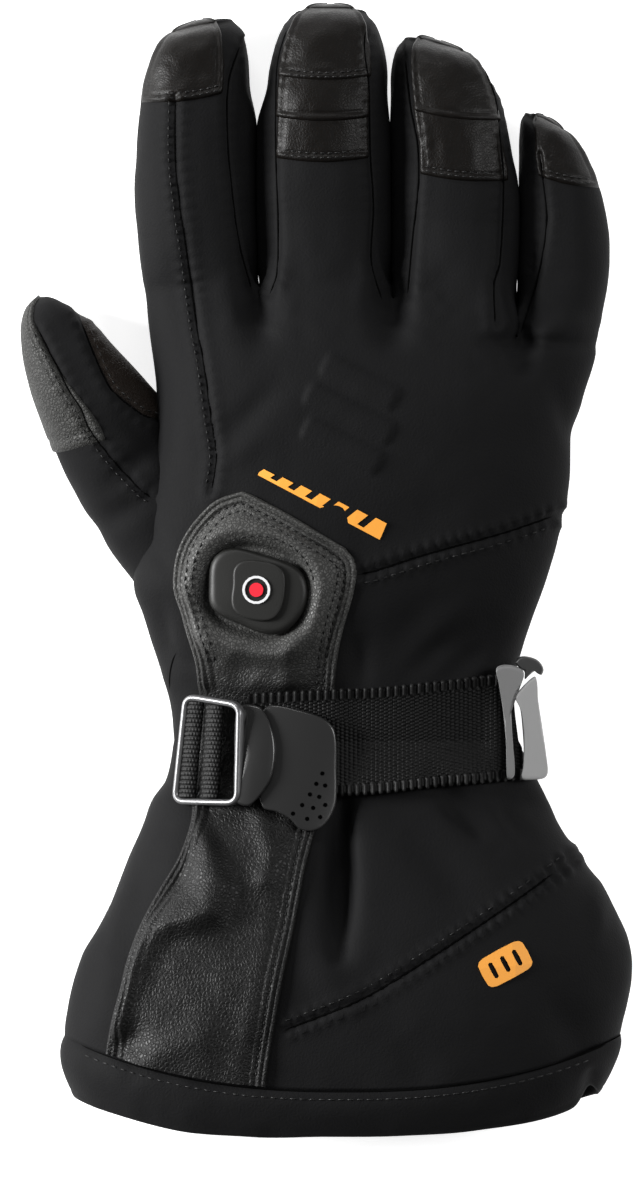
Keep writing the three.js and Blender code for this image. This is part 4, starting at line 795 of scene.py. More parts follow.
def thumb_patch():
    """Patch on the outer side: places of the thumb from beside the outer seam round to the underside,
    raised by its thickness with rounded edges."""
    v = np.linspace(0, 1, 60)[:, None]
    u = np.linspace(0, 1, 70)[None, :]
    low = mix(0.53, 0.56, u)
    along = mix(low, 1 + TIP_TURN * 0.85, v)
    right = mix(-0.12, -0.5, smooth((along - 0.55) / 0.45))
    turn = mix(top_turn(right), -0.1, u)
    points = thumb_point(along, turn + 0 * along).reshape(-1, 3)
    faces = grid_faces(60, 70, False)[:, ::-1]
    edge = np.minimum(np.minimum(u, 1 - u) * 30, v * 40).ravel() + 0 * points[:, 0]
    rise = 1.0 * np.sqrt(np.clip(1 - (1 - np.clip(edge / 1.0, 0, 1)) ** 2, 0, 1)) - 0.2
    rise -= 0.3 * np.exp(-(((edge - 3.2) / 0.5) ** 2))
    return points + normals_of(points, faces) * (thumb_relief(points) + rise)[:, None], faces


patch_points, patch_faces = thumb_patch()
add_piece("thumb_outer_leather", patch_points, patch_faces, GREY_LEATHER, "grey_leather", ("thumb_patch",))

# Control patch: pebbled leather laid over the back of the hand, under the strap and down to the hem,
# with a rolled edge, two rows of stitches inside it, and a puffed collar round the sunk switch
SWITCH_AT = (0.341, -0.4)
SWITCH_SIZE = (28, 25)
SWITCH_TURN = math.radians(-14)
# Ridges of the leather (mm): line, width on its left, width on its right, height
PATCH_RIDGES = [
    ([(-37.5, -18), (-37.3, -21.9), (-34.5, -28.5), (-32.2, -34.2), (-29.9, -41.9), (-32.6, -48.6), (-37.3, -50.7),
      (-42.6, -51.8), (-46.9, -54), (-50.3, -58.5), (-53.4, -64.8), (-56.4, -72), (-58.3, -80)], 3.6, 7, 3.8),
    ([(-18.5, -22), (-16.8, -27), (-15, -33), (-17, -39)], 3, 3.4, 1.3),
    ([(-36, -84), (-44, -87), (-52, -92)], 5, 5, 1.1),
    ([(-14.5, -62), (-17, -70), (-20, -82)], 4, 4, 0.8),
    ([(-33.6, 29), (-34.2, 22), (-35, 14)], 3, 4.5, 1.5),
    ([(-9.5, 30), (-11, 22), (-11.5, 14)], 3, 3, 1.2),
]
PATCH_HOLLOWS = [(-27, 24, -20, 17, 6, 1.5), (-54, -78, -54, -90, 3.4, 1.2), (-22, -48, -34, -64, 7, 1.2)]


def switch_distance(x, y):
    """Distance outside the switch's rounded outline, from its superellipse."""
    sx, sy = flat_point(*SWITCH_AT)
    dx, dy = x - sx, y - sy
    a = dx * math.cos(SWITCH_TURN) + dy * math.sin(SWITCH_TURN)
    b = -dx * math.sin(SWITCH_TURN) + dy * math.cos(SWITCH_TURN)
    size = (np.abs(a / (SWITCH_SIZE[0] / 2)) ** 2.7 + np.abs(b / (SWITCH_SIZE[1] / 2)) ** 2.7) ** (1 / 2.7)
    return (size - 1) * np.hypot(a, b) / np.maximum(size, 1e-6)


def patch_net():
    """The patch as a grid between its two long edges. Its height over the shell comes from the distance
    to the nearest edge: a roll, a stitch channel, then a puffed field; the collar is a bell round the
    switch."""
    v = np.concatenate([np.linspace(0, 0.93, 250, endpoint=False), 0.93 + 0.07 * (1 - (1 - np.linspace(0, 1, 40)) ** 2)])
    along = mix(PATCH_ROWS[0][0], PATCH_ROWS[-1][0], v)[:, None]
    u = 0.5 - 0.5 * np.cos(np.pi * np.linspace(0, 1, 130))
    u = mix(np.linspace(0, 1, 130), u, 0.6)[None, :]
    left, right = read(PATCH_ROWS, along, 1), read(PATCH_ROWS, along, 2)
    across = mix(left, np.maximum(right, left), u)
    along = along + 0 * across
    points = body_point(along, top_turn(across)).reshape(-1, 3)
    rows, columns = across.shape
    faces = grid_faces(rows, columns, False)
    x, y = points[:, 0], points[:, 1]
    grid = points.reshape(rows, columns, 3)
    border = np.concatenate([grid[::4, 0, :2], grid[::-4, -1, :2]])
    edge, _ = line_distance([tuple(p) for p in border], x, y)
    edge = np.abs(edge)
    roll = 1.7 * np.sqrt(np.clip(1 - (1 - np.clip(edge / 0.7, 0, 1)) ** 2, 0, 1)) - 0.2
    roll -= 0.6 * np.exp(-(((edge - 1.6) / 0.4) ** 2)) + 0.5 * smooth((edge - 2.4) / 0.6)
    roll -= 0.4 * np.exp(-(((edge - 3.3) / 0.5) ** 2)) + 0.25 * np.exp(-(((edge - 5.2) / 0.5) ** 2))
    roll += 0.7 * smooth((edge - 4) / 5)
    off = switch_distance(x, y)
    collar = 3.2 * np.exp(-(((off - 4.2) / 3.4) ** 2)) * smooth((off + 1.5) / 2.5) * smooth(edge / 5)
    sunk = -2.2 * smooth((1.0 - off) / 2)
    rise = roll + collar + sunk - crease(PATCH_HOLLOWS, x, y) * smooth(edge / 5)
    for line, wide_left, wide_right, height in PATCH_RIDGES:
        aside, run = line_distance(line, x, y)
        wide = np.where(aside > 0, wide_left, wide_right)
        rise += height * np.exp(-((aside / wide) ** 2)) * smooth(edge / 4)
    rise += 0.5 * noise(points, 17, 71) + 0.3 * noise(points, 7, 73)
    out = normals_of(points, faces)
    under_strap = smooth((17 - np.abs(y)) / 4)
    rise = np.maximum(mix(rise, np.minimum(rise, 1.1), under_strap), -0.2)
    return points + out * (rise + 0.4 * shell_relief(points))[:, None], faces, edge


control_points, control_faces, control_edge = patch_net()
# Painted highlight on the patch: its leather turns paler from the strap up over the back of the hand and round the
# switch, where the light falls.
control = add_piece("patch_cover", control_points, control_faces, PATCH_LEATHER, "patch_leather", ("control_patch",),
                    values={"grey": smooth((control_points[:, 1] - 12) / 22)})

# Switch: a rubber housing sunk in the collar, its button, and the lamp with a white ring round a red lens
RUBBER, rubber_tree, rubber_shader = new_material("switch_rubber", (0.0065, 0.0065, 0.0058), 0.5, Specular_IOR_Level=0.3)
rubber_place = node(rubber_tree, "ShaderNodeTexCoord")
rubber_grain = node(rubber_tree, "ShaderNodeTexNoise", {"Vector": rubber_place.outputs["Object"], "Scale": 2500, "Detail": 2})
rubber_bump = node(rubber_tree, "ShaderNodeBump", {"Height": rubber_grain.outputs["Fac"], "Strength": 0.5, "Distance": 0.00006})
rubber_tree.links.new(rubber_bump.outputs[0], rubber_shader.inputs["Normal"])
LAMP_WHITE, _, _ = new_material("lamp_white", (0.55, 0.55, 0.56), 0.35)
LAMP_RED, _, _ = new_material("lamp_red", (0.62, 0.02, 0.035), 0.25)


def show_node(name, finish, bevel=0.0004):
    """Shows a hard solid of the frame as it is, with its edges slightly rounded."""
    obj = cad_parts[name]
    obj.data.materials.clear()
    obj.data.materials.append(finish)
    obj.data.polygons.foreach_set("use_smooth", np.full(len(obj.data.polygons), True))
    if bevel:
        edge = obj.modifiers.new("edge", "BEVEL")
        edge.width = bevel
        edge.segments = 3
        edge.limit_method = "ANGLE"
        edge.angle_limit = math.radians(30)
        edge.harden_normals = True


def closed_curve(corners, count):
    """Even places on a smooth closed curve through a list of corners."""
    ring = np.array([*corners[-2:], *corners, *corners[:2]], float)
    run = np.concatenate([[0], np.cumsum(np.hypot(*np.diff(ring, axis=0).T))])
    at = np.linspace(run[2], run[-2], count, endpoint=False)
    return np.stack([read(np.column_stack([run, ring[:, 0]]), at, 1), read(np.column_stack([run, ring[:, 1]]), at, 1)], 1)


def quadric(found, p):
    x, y = p[..., 0], p[..., 1]
    return found[0] + found[1] * x + found[2] * y + found[3] * x * x + found[4] * x * y + found[5] * y * y


def slab(outline, found, lift, thick, edge, bulge=0):
    """Sheet of even thickness on a quadric: rings go from its middle below, round the edge, to its middle
    above, where they close."""
    centre = outline.mean(0)
    reach = np.linalg.norm(outline - centre, axis=1)[:, None]
    turn = np.linspace(-np.pi / 2, np.pi / 2, 12)
    inset = np.concatenate([np.linspace(0.97, 0.12, 8) * reach.mean(), edge * (1 - np.cos(turn)),
                            edge + (reach.mean() - edge) * np.linspace(0, 0.97, 22)[1:]])
    level = np.concatenate([np.zeros(8), 0.5 + 0.5 * np.sin(turn), np.ones(21)])
    share = np.concatenate([np.linspace(0.97, 0.12, 8), np.zeros(12), np.linspace(0, 0.97, 22)[1:]])
    rows = []
    for k, (cut, high, inner) in enumerate(zip(inset, level, share)):
        keep = 1 - (np.minimum(cut, edge) / reach) if inner == 0 else (1 - edge / reach) * (1 - inner)
        p = centre + (outline - centre) * keep
        rows.append(np.column_stack([p, quadric(found, p) + lift + thick * high + bulge * high * (1 - (1 - inner) ** 2)]))
    n = len(outline)
    points = np.concatenate(rows + [rows[0].mean(0)[None], rows[-1].mean(0)[None]])
    net = grid_faces(len(rows), n, True)
    ring = np.arange(n)
    low = np.stack([np.roll(ring, -1), ring, np.full(n, len(rows) * n), np.full(n, len(rows) * n)], -1)
    last = (len(rows) - 1) * n
    high = np.stack([last + ring, last + np.roll(ring, -1), np.full(n, len(rows) * n + 1), np.full(n, len(rows) * n + 1)], -1)
    faces = np.concatenate([net, low, high])
    area = np.sum(outline[:, 0] * np.roll(outline[:, 1], -1) - np.roll(outline[:, 0], -1) * outline[:, 1])
    if area > 0:
        return points, faces
    return points, np.concatenate([net[:, ::-1], low[:, [1, 0, 2, 3]], high[:, [1, 0, 2, 3]]])


HOUSING_CORNERS = [(-33.2, 44), (-32.6, 50.5), (-29.8, 53.9), (-25, 54.6), (-18, 52.8), (-11.5, 50.6), (-7.2, 48), (-5.4, 44),
                   (-5.6, 39.2), (-8, 34.2), (-12, 30.8), (-17, 30.2), (-24, 32.8), (-30, 35.6), (-32.8, 38.6)]
BUTTON_CORNERS = [(-26.4, 44), (-26, 48.8), (-23.6, 51), (-19, 51), (-14, 49.8), (-11.9, 47.4), (-11.6, 43), (-12.6, 37.6),
                  (-14.8, 34.6), (-18.5, 33.9), (-23.5, 35), (-26.2, 37.2), (-26.8, 40)]
# The switch leans a little outwards: height of its top over x
SWITCH_PLANE = [50.0, 0.1437, 0, 0, 0, 0]
housing_outline = closed_curve(HOUSING_CORNERS, 160)
add_piece("housing", *slab(housing_outline, SWITCH_PLANE, -4.6, 4.2, 2.0, 0.4), RUBBER, "switch_rubber",
          ("switch_housing",))
add_piece("button", *slab(closed_curve(BUTTON_CORNERS, 140), SWITCH_PLANE, -0.6, 1.6, 0.6, 0.1), RUBBER,
          "switch_rubber", ("switch_button",))
show_node("lamp_ring", LAMP_WHITE, 0.00012)
show_node("lamp_lens", LAMP_RED, 0.00025)

# Seams and stitches: a thin black cord of painted shade lies in the groove where two panels meet, and short stitches of
# bonded thread run beside it, sunk at their ends. They lie on whatever is on top at their place.


def smooth_line(line, step):
    """Even places along a smooth curve through the points of a polyline, and the directions there."""
    p = np.array(line, float)
    run = np.concatenate([[0], np.cumsum(np.hypot(*np.diff(p, axis=0).T))])
    at = np.linspace(0, run[-1], max(2, int(run[-1] / step) + 1))
    x = read(np.column_stack([run, p[:, 0]]), at, 1)
    y = read(np.column_stack([run, p[:, 1]]), at, 1)
    d = np.stack([np.gradient(x), np.gradient(y)], 1)
    return np.stack([x, y], 1), d / np.linalg.norm(d, axis=1)[:, None]


def beside(line, offset, step=1.0):
    """A smooth curve at an even distance to the left of a polyline."""
    p, d = smooth_line(line, step)
    return p + offset * np.stack([-d[:, 1], d[:, 0]], 1)


def joined(parts):
    """Several point and face arrays as one."""
    base = np.cumsum([0] + [len(p) for p, _ in parts[:-1]])
    return np.concatenate([p for p, _ in parts]), np.concatenate([f + n for (_, f), n in zip(parts, base)])


def surface_tree(parts):
    points, faces = joined(parts)
    return BVHTree.FromPolygons(points.tolist(), faces.tolist())


SURFACES = [(shell_points, shell_faces), (band_points, band_faces), *cap_surfaces,
            (thumb_points, thumb_faces), (patch_points, patch_faces), (control_points, control_faces)]
TREE = surface_tree(SURFACES)


def height_at(p, tree):
    """Height of what lies on top at each place, and nan where there is nothing."""
    hits = [tree.ray_cast(Vector((x, y, 200)), Vector((0, 0, -1)))[0] for x, y in p.tolist()]
    return np.array([hit.z if hit else np.nan for hit in hits])


def tube(path, radius, sides=6):
    """Rings of points round each place of a path in space, and the quads between the rings; its radius
    closes at both ends."""
    d = np.gradient(path, axis=0)
    d /= np.linalg.norm(d, axis=1)[:, None]
    side = np.cross(d, [0, 0, 1])
    side /= np.maximum(np.linalg.norm(side, axis=1), 1e-6)[:, None]
    up = np.cross(side, d)
    angle = np.linspace(0, 2 * np.pi, sides, endpoint=False)
    ring = np.cos(angle)[None, :, None] * side[:, None] + np.sin(angle)[None, :, None] * up[:, None]
    thin = np.minimum(np.arange(len(path)), np.arange(len(path))[::-1]) / 3
    grown = radius * np.clip(thin, 0.05, 1)[:, None, None]
    return (path[:, None] + grown * ring).reshape(-1, 3), grid_faces(len(path), sides, True)[:, ::-1]


hem_turns = np.linspace(top_turn(-0.99), top_turn(0.99), 60)
HEM_LINE = [tuple(p) for p in body_point(np.full(60, BAND_FROM - 0.002), hem_turns)[:, :2]]
# Short pleat beside the strap, and the border of the softshell over the patch's left side
PLEAT = [(-44.6, 14), (-44.2, 20), (-42.5, 25), (-39.6, 27.6)]
# Painted shade: a black cord along the bottom of every seam groove, the hem line, the thumb seams and the pleat.
shade_cords = []
for line in SHELL_SEAMS + [HEM_LINE, THUMB_SEAM, THUMB_INNER, PLEAT]:
    flat, _ = smooth_line(line, 0.8)
    z = height_at(flat, TREE)
    gap = np.isnan(z) | (np.abs(np.gradient(z)) > 1.1) | (z < 7)
    for part in np.split(np.arange(len(z)), np.nonzero(gap)[0]):
        part = part[~gap[part]]
        if len(part) > 5:
            shade_cords.append(tube(np.column_stack([flat, z - 0.1])[part], 0.3))
SEAM_SHADE, _, _ = new_material("seam_shade", (0.0012, 0.0012, 0.0012), 0.9, Specular_IOR_Level=0.03)
seam_points, seam_faces = joined(shade_cords)
add_piece("seam_shade_lines", seam_points, seam_faces, SEAM_SHADE, "softshell")

edge_left = [tuple(p) for p in control_points.reshape(290, 130, 3)[2:, 0, :2][::6]]
edge_right = [tuple(p) for p in control_points.reshape(290, 130, 3)[2:, -1, :2][::6]]
edge_upper = edge_left[-16:] + edge_right[::-1][:18]
cap_rows = []
for name, left, right, tip_left, tip_right, bands in CAPS:
    for start in bands[:1] + bands[2:]:
        for row in (1.4, 2.7):
            u = np.linspace(0.04, 0.96, 30)
            along = start - 0.018 * (1 - (2 * u - 1) ** 2) + row / FINGERS[name][4]
            cap_rows.append([tuple(q) for q in finger_point(name, along, top_turn(mix(left, right, u)))[:, :2]])
patch_net_2 = patch_points.reshape(60, 70, 3)[:, :, :2]
thumb_rows = [[tuple(q) for q in patch_net_2[row]] for row in (3, 5)]
switch_round = [tuple(q) for q in np.column_stack([
    flat_point(*SWITCH_AT)[0] + 16.4 * np.cos(np.linspace(0.1, 3.6, 30)),
    flat_point(*SWITCH_AT)[1] + 15.2 * np.sin(np.linspace(0.1, 3.6, 30))])]
# line, distance to its left, pitch, length, radius
STITCH_ROWS = [(STRIP_SEAM, -1.8, 2.3, 1.5, 0.2), (SHELL_SEAMS[7], -2.6, 2.6, 1.7, 0.2),
               (SHELL_SEAMS[8], 2.4, 2.6, 1.7, 0.2), (THUMB_SEAM, -1.7, 2.2, 1.4, 0.18),
               (THUMB_INNER, 1.7, 2.2, 1.4, 0.18), (HEM_LINE, -2.2, 2.7, 1.8, 0.22),
               (edge_right, 3.3, 2.4, 1.5, 0.24), (edge_upper, -3.3, 2.4, 1.5, 0.24),
               (edge_upper, -5.2, 2.4, 1.5, 0.24), (switch_round, 0, 2.3, 1.5, 0.2)]
STITCH_ROWS += [(row, 0, 2.1, 1.4, 0.2) for row in cap_rows + thumb_rows]


def stitch_rows(rows, tree):
    """Every stitch is a short closed tube from hole to hole: its height follows half a sine and its
    radius closes at both ends."""
    first, second, sizes = [], [], []
    for line, offset, pitch, length, radius in rows:
        p = beside(line, offset, 0.5)
        run = np.concatenate([[0], np.cumsum(np.hypot(*np.diff(p, axis=0).T))])
        at = np.arange(pitch / 2, run[-1] - length, pitch)
        for shift, store in ((0, first), (length, second)):
            store.append(np.column_stack([np.interp(at + shift, run, p[:, 0]), np.interp(at + shift, run, p[:, 1])]))
        sizes.append(np.full(len(at), radius))
    first, second, sizes = np.concatenate(first), np.concatenate(second), np.concatenate(sizes)
    a = np.column_stack([first, height_at(first, tree)])
    b = np.column_stack([second, height_at(second, tree)])
    good = (np.abs(a[:, 2] - b[:, 2]) < 1.5) & (a[:, 2] > 8) & (np.linalg.norm(a - b, axis=1) > 0.3)
    a, b, sizes = a[good], b[good], sizes[good]
    t = np.linspace(0, 1, 7)
    along = a[:, None] + (b - a)[:, None] * t[None, :, None]
    along[:, :, 2] += -0.1 + (0.12 + sizes[:, None]) * np.sin(np.pi * t)[None, :]
    d = b - a
    d /= np.linalg.norm(d, axis=1)[:, None]
    side = np.cross(d, [0, 0, 1])
    up = np.cross(side, d)
    angle = np.linspace(0, 2 * np.pi, 6, endpoint=False)
    ring = np.cos(angle)[None, :, None] * side[:, None] + np.sin(angle)[None, :, None] * up[:, None]
    swell = sizes[:, None] * np.sin(np.pi * np.clip(t, 0.06, 0.94)) ** 0.4
    points = along[:, :, None] + swell[:, :, None, None] * ring[:, None]
    faces = grid_faces(7, 6, True)[:, ::-1][None] + (np.arange(len(a)) * 42)[:, None, None]
    return points.reshape(-1, 3), faces.reshape(-1, 4)


THREAD, _, _ = new_material("thread", (0.0055, 0.0055, 0.0055), 0.45, Specular_IOR_Level=0.25)
stitch_points, stitch_faces = stitch_rows(STITCH_ROWS, TREE)
add_piece("stitches", stitch_points, stitch_faces, THREAD, "softshell")

# Wrist strap: thick webbing in a small basket weave, with picot loops along both edges, drawn tight
# over the patch and the wrist from the loop buckle to the hook buckle
def weave_material():
    """Webbing yarn: painted shade, lightest on the crowns of the weave and darkest in the gaps between them."""
    made, tree, shader = new_material("webbing", (0.008, 0.008, 0.0085), 0.5, Specular_IOR_Level=0.12)
    value = node(tree, "ShaderNodeAttribute", attribute_name="crown")
    weave_shade = node(tree, "ShaderNodeMapRange", {"Value": value.outputs["Fac"], 1: 0.35, 2: 1.0, 3: 0.0004, 4: 0.0055})
    colour = node(tree, "ShaderNodeCombineColor", {0: weave_shade.outputs[0], 1: weave_shade.outputs[0], 2: weave_shade.outputs[0]})
    tree.links.new(colour.outputs[0], shader.inputs["Base Color"])
    return made


WEBBING = weave_material()
STRAP_TOP = [(-22, 12.2), (1.1, 13.4), (14.8, 14.0), (28.5, 15.4), (54.2, 18.2)]
# Height over x of the hook buckle, which the outer end of the strap runs up to
BUCKLE_PLANE = [73.4, -0.75, 0, 0, 0, 0]
STRAP_LOW = [(-24, -15.4), (1.1, -14.4), (14.8, -13.7), (28, -12.2), (56.2, -9.8)]


def weave(run, side, width):
    """Height from 0 to 1 of a basket weave: round grains 1.25 mm long and 1 mm wide, each column half a
    grain off the last; within 1.7 mm of an edge, picot loops across the run instead."""
    column = np.floor(run / 1.25)
    grains = np.abs(np.sin(np.pi * run / 1.25)) ** 0.6
    grains = grains * np.abs(np.cos(np.pi * (side / 1.0 + 0.5 * (column % 2) + 0.25 * np.sin(run / 3.7)))) ** 0.6
    loops = 1.7 * np.abs(np.cos(np.pi * run / 2.2)) ** 3
    at_edge = smooth((2.0 - np.minimum(side, width - side)) / 0.3)
    return mix(grains, loops, at_edge)


def body_at(x, y):
    """Along and across of places in the outline plane, by a few corrections of a first guess."""
    along = y / np.where(y > 0, HAND_LENGTH, CUFF_LENGTH)
    for _ in range(12):
        half, middle, high, y0, bow = body_size(along)
        across = np.clip((x - middle) / half, -0.995, 0.995)
        reached = y0 + bow * np.abs(across) ** 2.4
        along = along + (y - reached) / np.where(y > 0, HAND_LENGTH, CUFF_LENGTH)
    return along, across


def strap_net(rows, across_top, relief):
    """Upper face and rounded edges of the webbing between its upper and lower line. With relief it has
    the weave's height, and its edges swing out at every picot."""
    u = np.linspace(0, 1, rows)[:, None]
    top, low = np.array(STRAP_TOP), np.array(STRAP_LOW)
    x_top, x_low = mix(top[0, 0], top[-1, 0], u), mix(low[0, 0], low[-1, 0], u)
    y_top, y_low = read(STRAP_TOP, x_top, 1), read(STRAP_LOW, x_low, 1)
    turn = np.linspace(-np.pi / 2, np.pi / 2, 7)[1:-1]
    v = np.concatenate([-0.03 * np.cos(turn), np.linspace(0, 1, across_top), 1 + 0.03 * np.cos(turn)])
    level = np.concatenate([np.sin(turn), np.ones(across_top), -np.sin(turn)])
    if not relief:
        v, level = v[5:-5], level[5:-5]
    v, level = v[None, :], level[None, :]
    x, y = mix(x_low, x_top, v), mix(y_low, y_top, v)
    run, width = x + 0 * y, y_top - y_low
    out = np.clip(np.abs(2 * v - 1) - 0.9, 0, 0.12) / 0.1 * np.sign(2 * v - 1)
    y = y + relief * out * np.abs(np.cos(np.pi * run / 2.2))
    along, across = body_at(x, y)
    base = body_point(along, top_turn(across))
    crown = weave(run, v * width, width) * (level > -0.9)
    lift = mix(2.1, 0.9, smooth((x - 1) / 9))
    outer = smooth((x - 43) / 7)
    base[..., 2] = mix(base[..., 2] + lift, BUCKLE_PLANE[0] + BUCKLE_PLANE[1] * x - 3.0, outer)
    base[..., 2] += 0.85 * (level + 1) + relief * (0.05 + crown) * (level > 0)
    return base.reshape(-1, 3), grid_faces(rows, v.shape[1], False)[:, ::-1], crown.reshape(-1)


strap_points, strap_faces, strap_crown = strap_net(90, 30, 0)
# The plain sheet under the yarn gets crown 0, so it takes the darkest painted shade.
strap = add_piece("strap_webbing", strap_points, strap_faces, WEBBING, "webbing", ("wrist_strap",),
                  values={"crown": 0 * strap_crown})
strap_wall = strap.modifiers.new("wall", "SOLIDIFY")
strap_wall.thickness = 0.0017
strap_wall.offset = -1
yarn_points, yarn_faces, yarn_crown = strap_net(420, 130, 0.5)
yarn = add_piece("strap_yarn", yarn_points, yarn_faces, WEBBING, "webbing", values={"crown": yarn_crown})

# Loop buckle: a rounded wire frame of dark grey metal, tilted outwards over the thumb side of the
# wrist; the webbing goes round its middle bar and shows as two ridges
GUNMETAL, _, _ = new_material("gunmetal", (0.14, 0.14, 0.143), 0.34, Metallic=0.7)
PLASTIC, _, _ = new_material("buckle_plastic", (0.25, 0.25, 0.25), 0.4)
BLACK_PLASTIC, _, _ = new_material("black_plastic", (0.006, 0.006, 0.006), 0.3)
TAB_RUBBER, _, _ = new_material("tab_rubber", (0.014, 0.014, 0.014), 0.25, Specular_IOR_Level=0.5)
BUCKLE_CORNERS = [(-39.4, 12.6), (-24.2, 10.2), (-24.9, -17.4), (-42.6, -17.2)]


def buckle_height(x):
    return 36.3 + 0.61 * (x + 41.5)


def rounded_path(corners, radius, count):
    """Closed path round a four-sided frame: straight sides joined by arcs drawn as quadratic curves."""
    c = np.array(corners, float)
    pieces = []
    for k in range(len(c)):
        a, b, d = c[k - 1], c[k], c[(k + 1) % len(c)]
        start = b + (a - b) / np.linalg.norm(a - b) * radius
        end = b + (d - b) / np.linalg.norm(d - b) * radius
        t = np.linspace(0, 1, 9)[:, None]
        pieces.append((1 - t) ** 2 * start + 2 * t * (1 - t) * b + t**2 * end)
    p = np.concatenate(pieces + [pieces[0][:1]])
    run = np.concatenate([[0], np.cumsum(np.linalg.norm(np.diff(p, axis=0), axis=1))])
    at = np.linspace(0, run[-1], count, endpoint=False)
    return np.column_stack([np.interp(at, run, p[:, 0]), np.interp(at, run, p[:, 1])])


def wire_frame(flat, wide, high, lean):
    """Closed ring of rounded sections along a closed path: half width and half height of each."""
    n = len(flat)
    path = np.column_stack([flat, buckle_height(flat[:, 0])])
    d = np.roll(path, -1, axis=0) - np.roll(path, 1, axis=0)
    d /= np.linalg.norm(d, axis=1)[:, None]
    up = np.array([-lean, 0, 1]) / math.hypot(lean, 1)
    side = np.cross(d, up)
    side /= np.linalg.norm(side, axis=1)[:, None]
    angle = np.linspace(0, 2 * np.pi, 16, endpoint=False)
    c, s = np.cos(angle), np.sin(angle)
    flat_c, flat_s = np.sign(c) * np.abs(c) ** 0.75, np.sign(s) * np.abs(s) ** 0.75
    points = path[:, None] + wide * flat_c[None, :, None] * side[:, None] + high * flat_s[None, :, None] * up
    faces = grid_faces(n + 1, 16, True) % (n * 16)
    return points.reshape(-1, 3), faces[:, ::-1]


buckle = add_piece("loop_frame", *wire_frame(rounded_path(BUCKLE_CORNERS, 3, 200), 0.95, 1.5, 0.61), GUNMETAL,
                   "buckle_plastic", ("loop_buckle",))


def webbing_ridge(x_low, x_top, y_low, y_top, half):
    """Part of the webbing over the middle bar: an upper half ellipse across, the weave on top of it."""
    v = np.linspace(0, 1, 170)[:, None]
    angle = np.linspace(0, 2 * np.pi, 64, endpoint=False)[None, :]
    across = -np.cos(angle)
    x = mix(x_low, x_top, v) + half * across
    y = mix(y_low, y_top, v) + 0 * x
    # The lower half gets crown 0, so it is painted darkest as shade.
    crown = weave(y + 0 * x, half * (across + 1) * 1.1 + 4, 60) * (np.sin(angle) > 0)
    rise = np.where(np.sin(angle) > 0, 2.0, 0.8) * np.sign(np.sin(angle)) * np.abs(np.sin(angle)) ** 0.8
    z = buckle_height(x) - 0.9 + rise + 0.35 * crown
    points = np.stack(np.broadcast_arrays(x, y, z), -1).reshape(-1, 3)
    return points, grid_faces(170, 64, True)[:, ::-1], crown.reshape(-1)


ridge_a = webbing_ridge(-39.9, -37.4, -15.9, 11.2, 2.95)
ridge_b = webbing_ridge(-33.2, -31.6, -16.3, 10.4, 2.75)
fold_points, fold_faces = joined([ridge_a[:2], ridge_b[:2]])
add_piece("webbing_fold", fold_points, fold_faces, WEBBING, "webbing", ("strap_fold",),
          values={"crown": np.concatenate([ridge_a[2], ridge_b[2]])})

# Loop and pull tab: the smooth rubbery end of the strap. The loop goes round the buckle's inner bar, and
# the tab comes out below it, with rounded corners and a field of small holes.
LOOP_CORNERS = [(-25.6, 8.6), (-24.6, 10), (-21.5, 10.4), (-18.2, 9.2), (-15.6, 4.3), (-14.4, -2.8), (-15.4, -10),
                (-18, -14.4), (-21.4, -18), (-24, -18), (-25.9, -16.4), (-26, -4)]
TAB_CORNERS = [(-18.5, 8), (-15.5, 10.2), (-7.4, 8.7), (-1, 6.6), (1.9, 4), (2.9, 0), (3.0, -8), (2.9, -17), (1.4, -21.4),
               (-1.2, -24.4), (-4.3, -25.5), (-7.6, -24.7), (-10.3, -21.9), (-14, -20), (-18, -18.6), (-19.8, -10),
               (-20, 0)]
TAB_HOLES = [(-1.1, -9.1), (-2.8, -12), (-0.3, -12.5), (-2, -15.7), (-6.8, -18), (-3.7, -18.8), (-0.3, -18),
             (-1.7, -21.4), (-5.4, -21.9), (-9.4, -20.4), (-4.6, -15)]


def laid(outline, tree):
    """Coefficients of the quadric that fits the surface below an outline and clears it: 1, x, y, x2, xy,
    y2 by least squares, raised by most of the largest height left over."""
    centre = outline.mean(0)
    p = np.concatenate([centre + (outline[::6] - centre) * k for k in (0.25, 0.5, 0.75, 0.95)])
    z = height_at(p, tree)
    p, z = p[~np.isnan(z)], z[~np.isnan(z)]
    terms = np.column_stack([np.ones(len(p)), p, p[:, 0] ** 2, p[:, 0] * p[:, 1], p[:, 1] ** 2])
    found = np.linalg.lstsq(terms, z, rcond=None)[0]
    found[0] += 0.8 * np.max(z - terms @ found)
    return found


STRAP_TREE = surface_tree(SURFACES + [(strap_points, strap_faces)])
tab_outline = closed_curve(TAB_CORNERS, 160)
loop_outline = closed_curve(LOOP_CORNERS, 160)
tab_fit = laid(tab_outline, STRAP_TREE)
tab = add_piece("tab", *slab(tab_outline, tab_fit, 0.1, 1.9, 0.6), TAB_RUBBER, "tab_rubber", ("pull_tab",))
loop = add_piece("loop_end", *slab(loop_outline, tab_fit, 1.9, 2.0, 0.8, 1.0), TAB_RUBBER, "tab_rubber", ("tab_loop",))
# The holes are drawn as flat black discs on the tab's face: painted shade where the holes sink in.
HOLE_SHADE, _, _ = new_material("hole_shade", (0.0008, 0.0008, 0.0008), 1.0, Specular_IOR_Level=0.0)
hole_parts = []
for cx, cy in TAB_HOLES:
    angle = np.linspace(0, 2 * np.pi, 14, endpoint=False)
    rim = np.column_stack([cx + 0.62 * np.cos(angle), cy + 0.62 * np.sin(angle)])
    rim = np.column_stack([rim, quadric(tab_fit, rim) + 2.03])
    middle = np.array([[cx, cy, quadric(tab_fit, np.array([cx, cy])) + 2.03]])
    ring = np.arange(14)
    hole_parts.append((np.concatenate([rim, middle]), np.stack([ring, np.roll(ring, -1), np.full(14, 14), np.full(14, 14)], -1)))
add_piece("tab_holes", *joined(hole_parts), HOLE_SHADE, "tab_rubber")

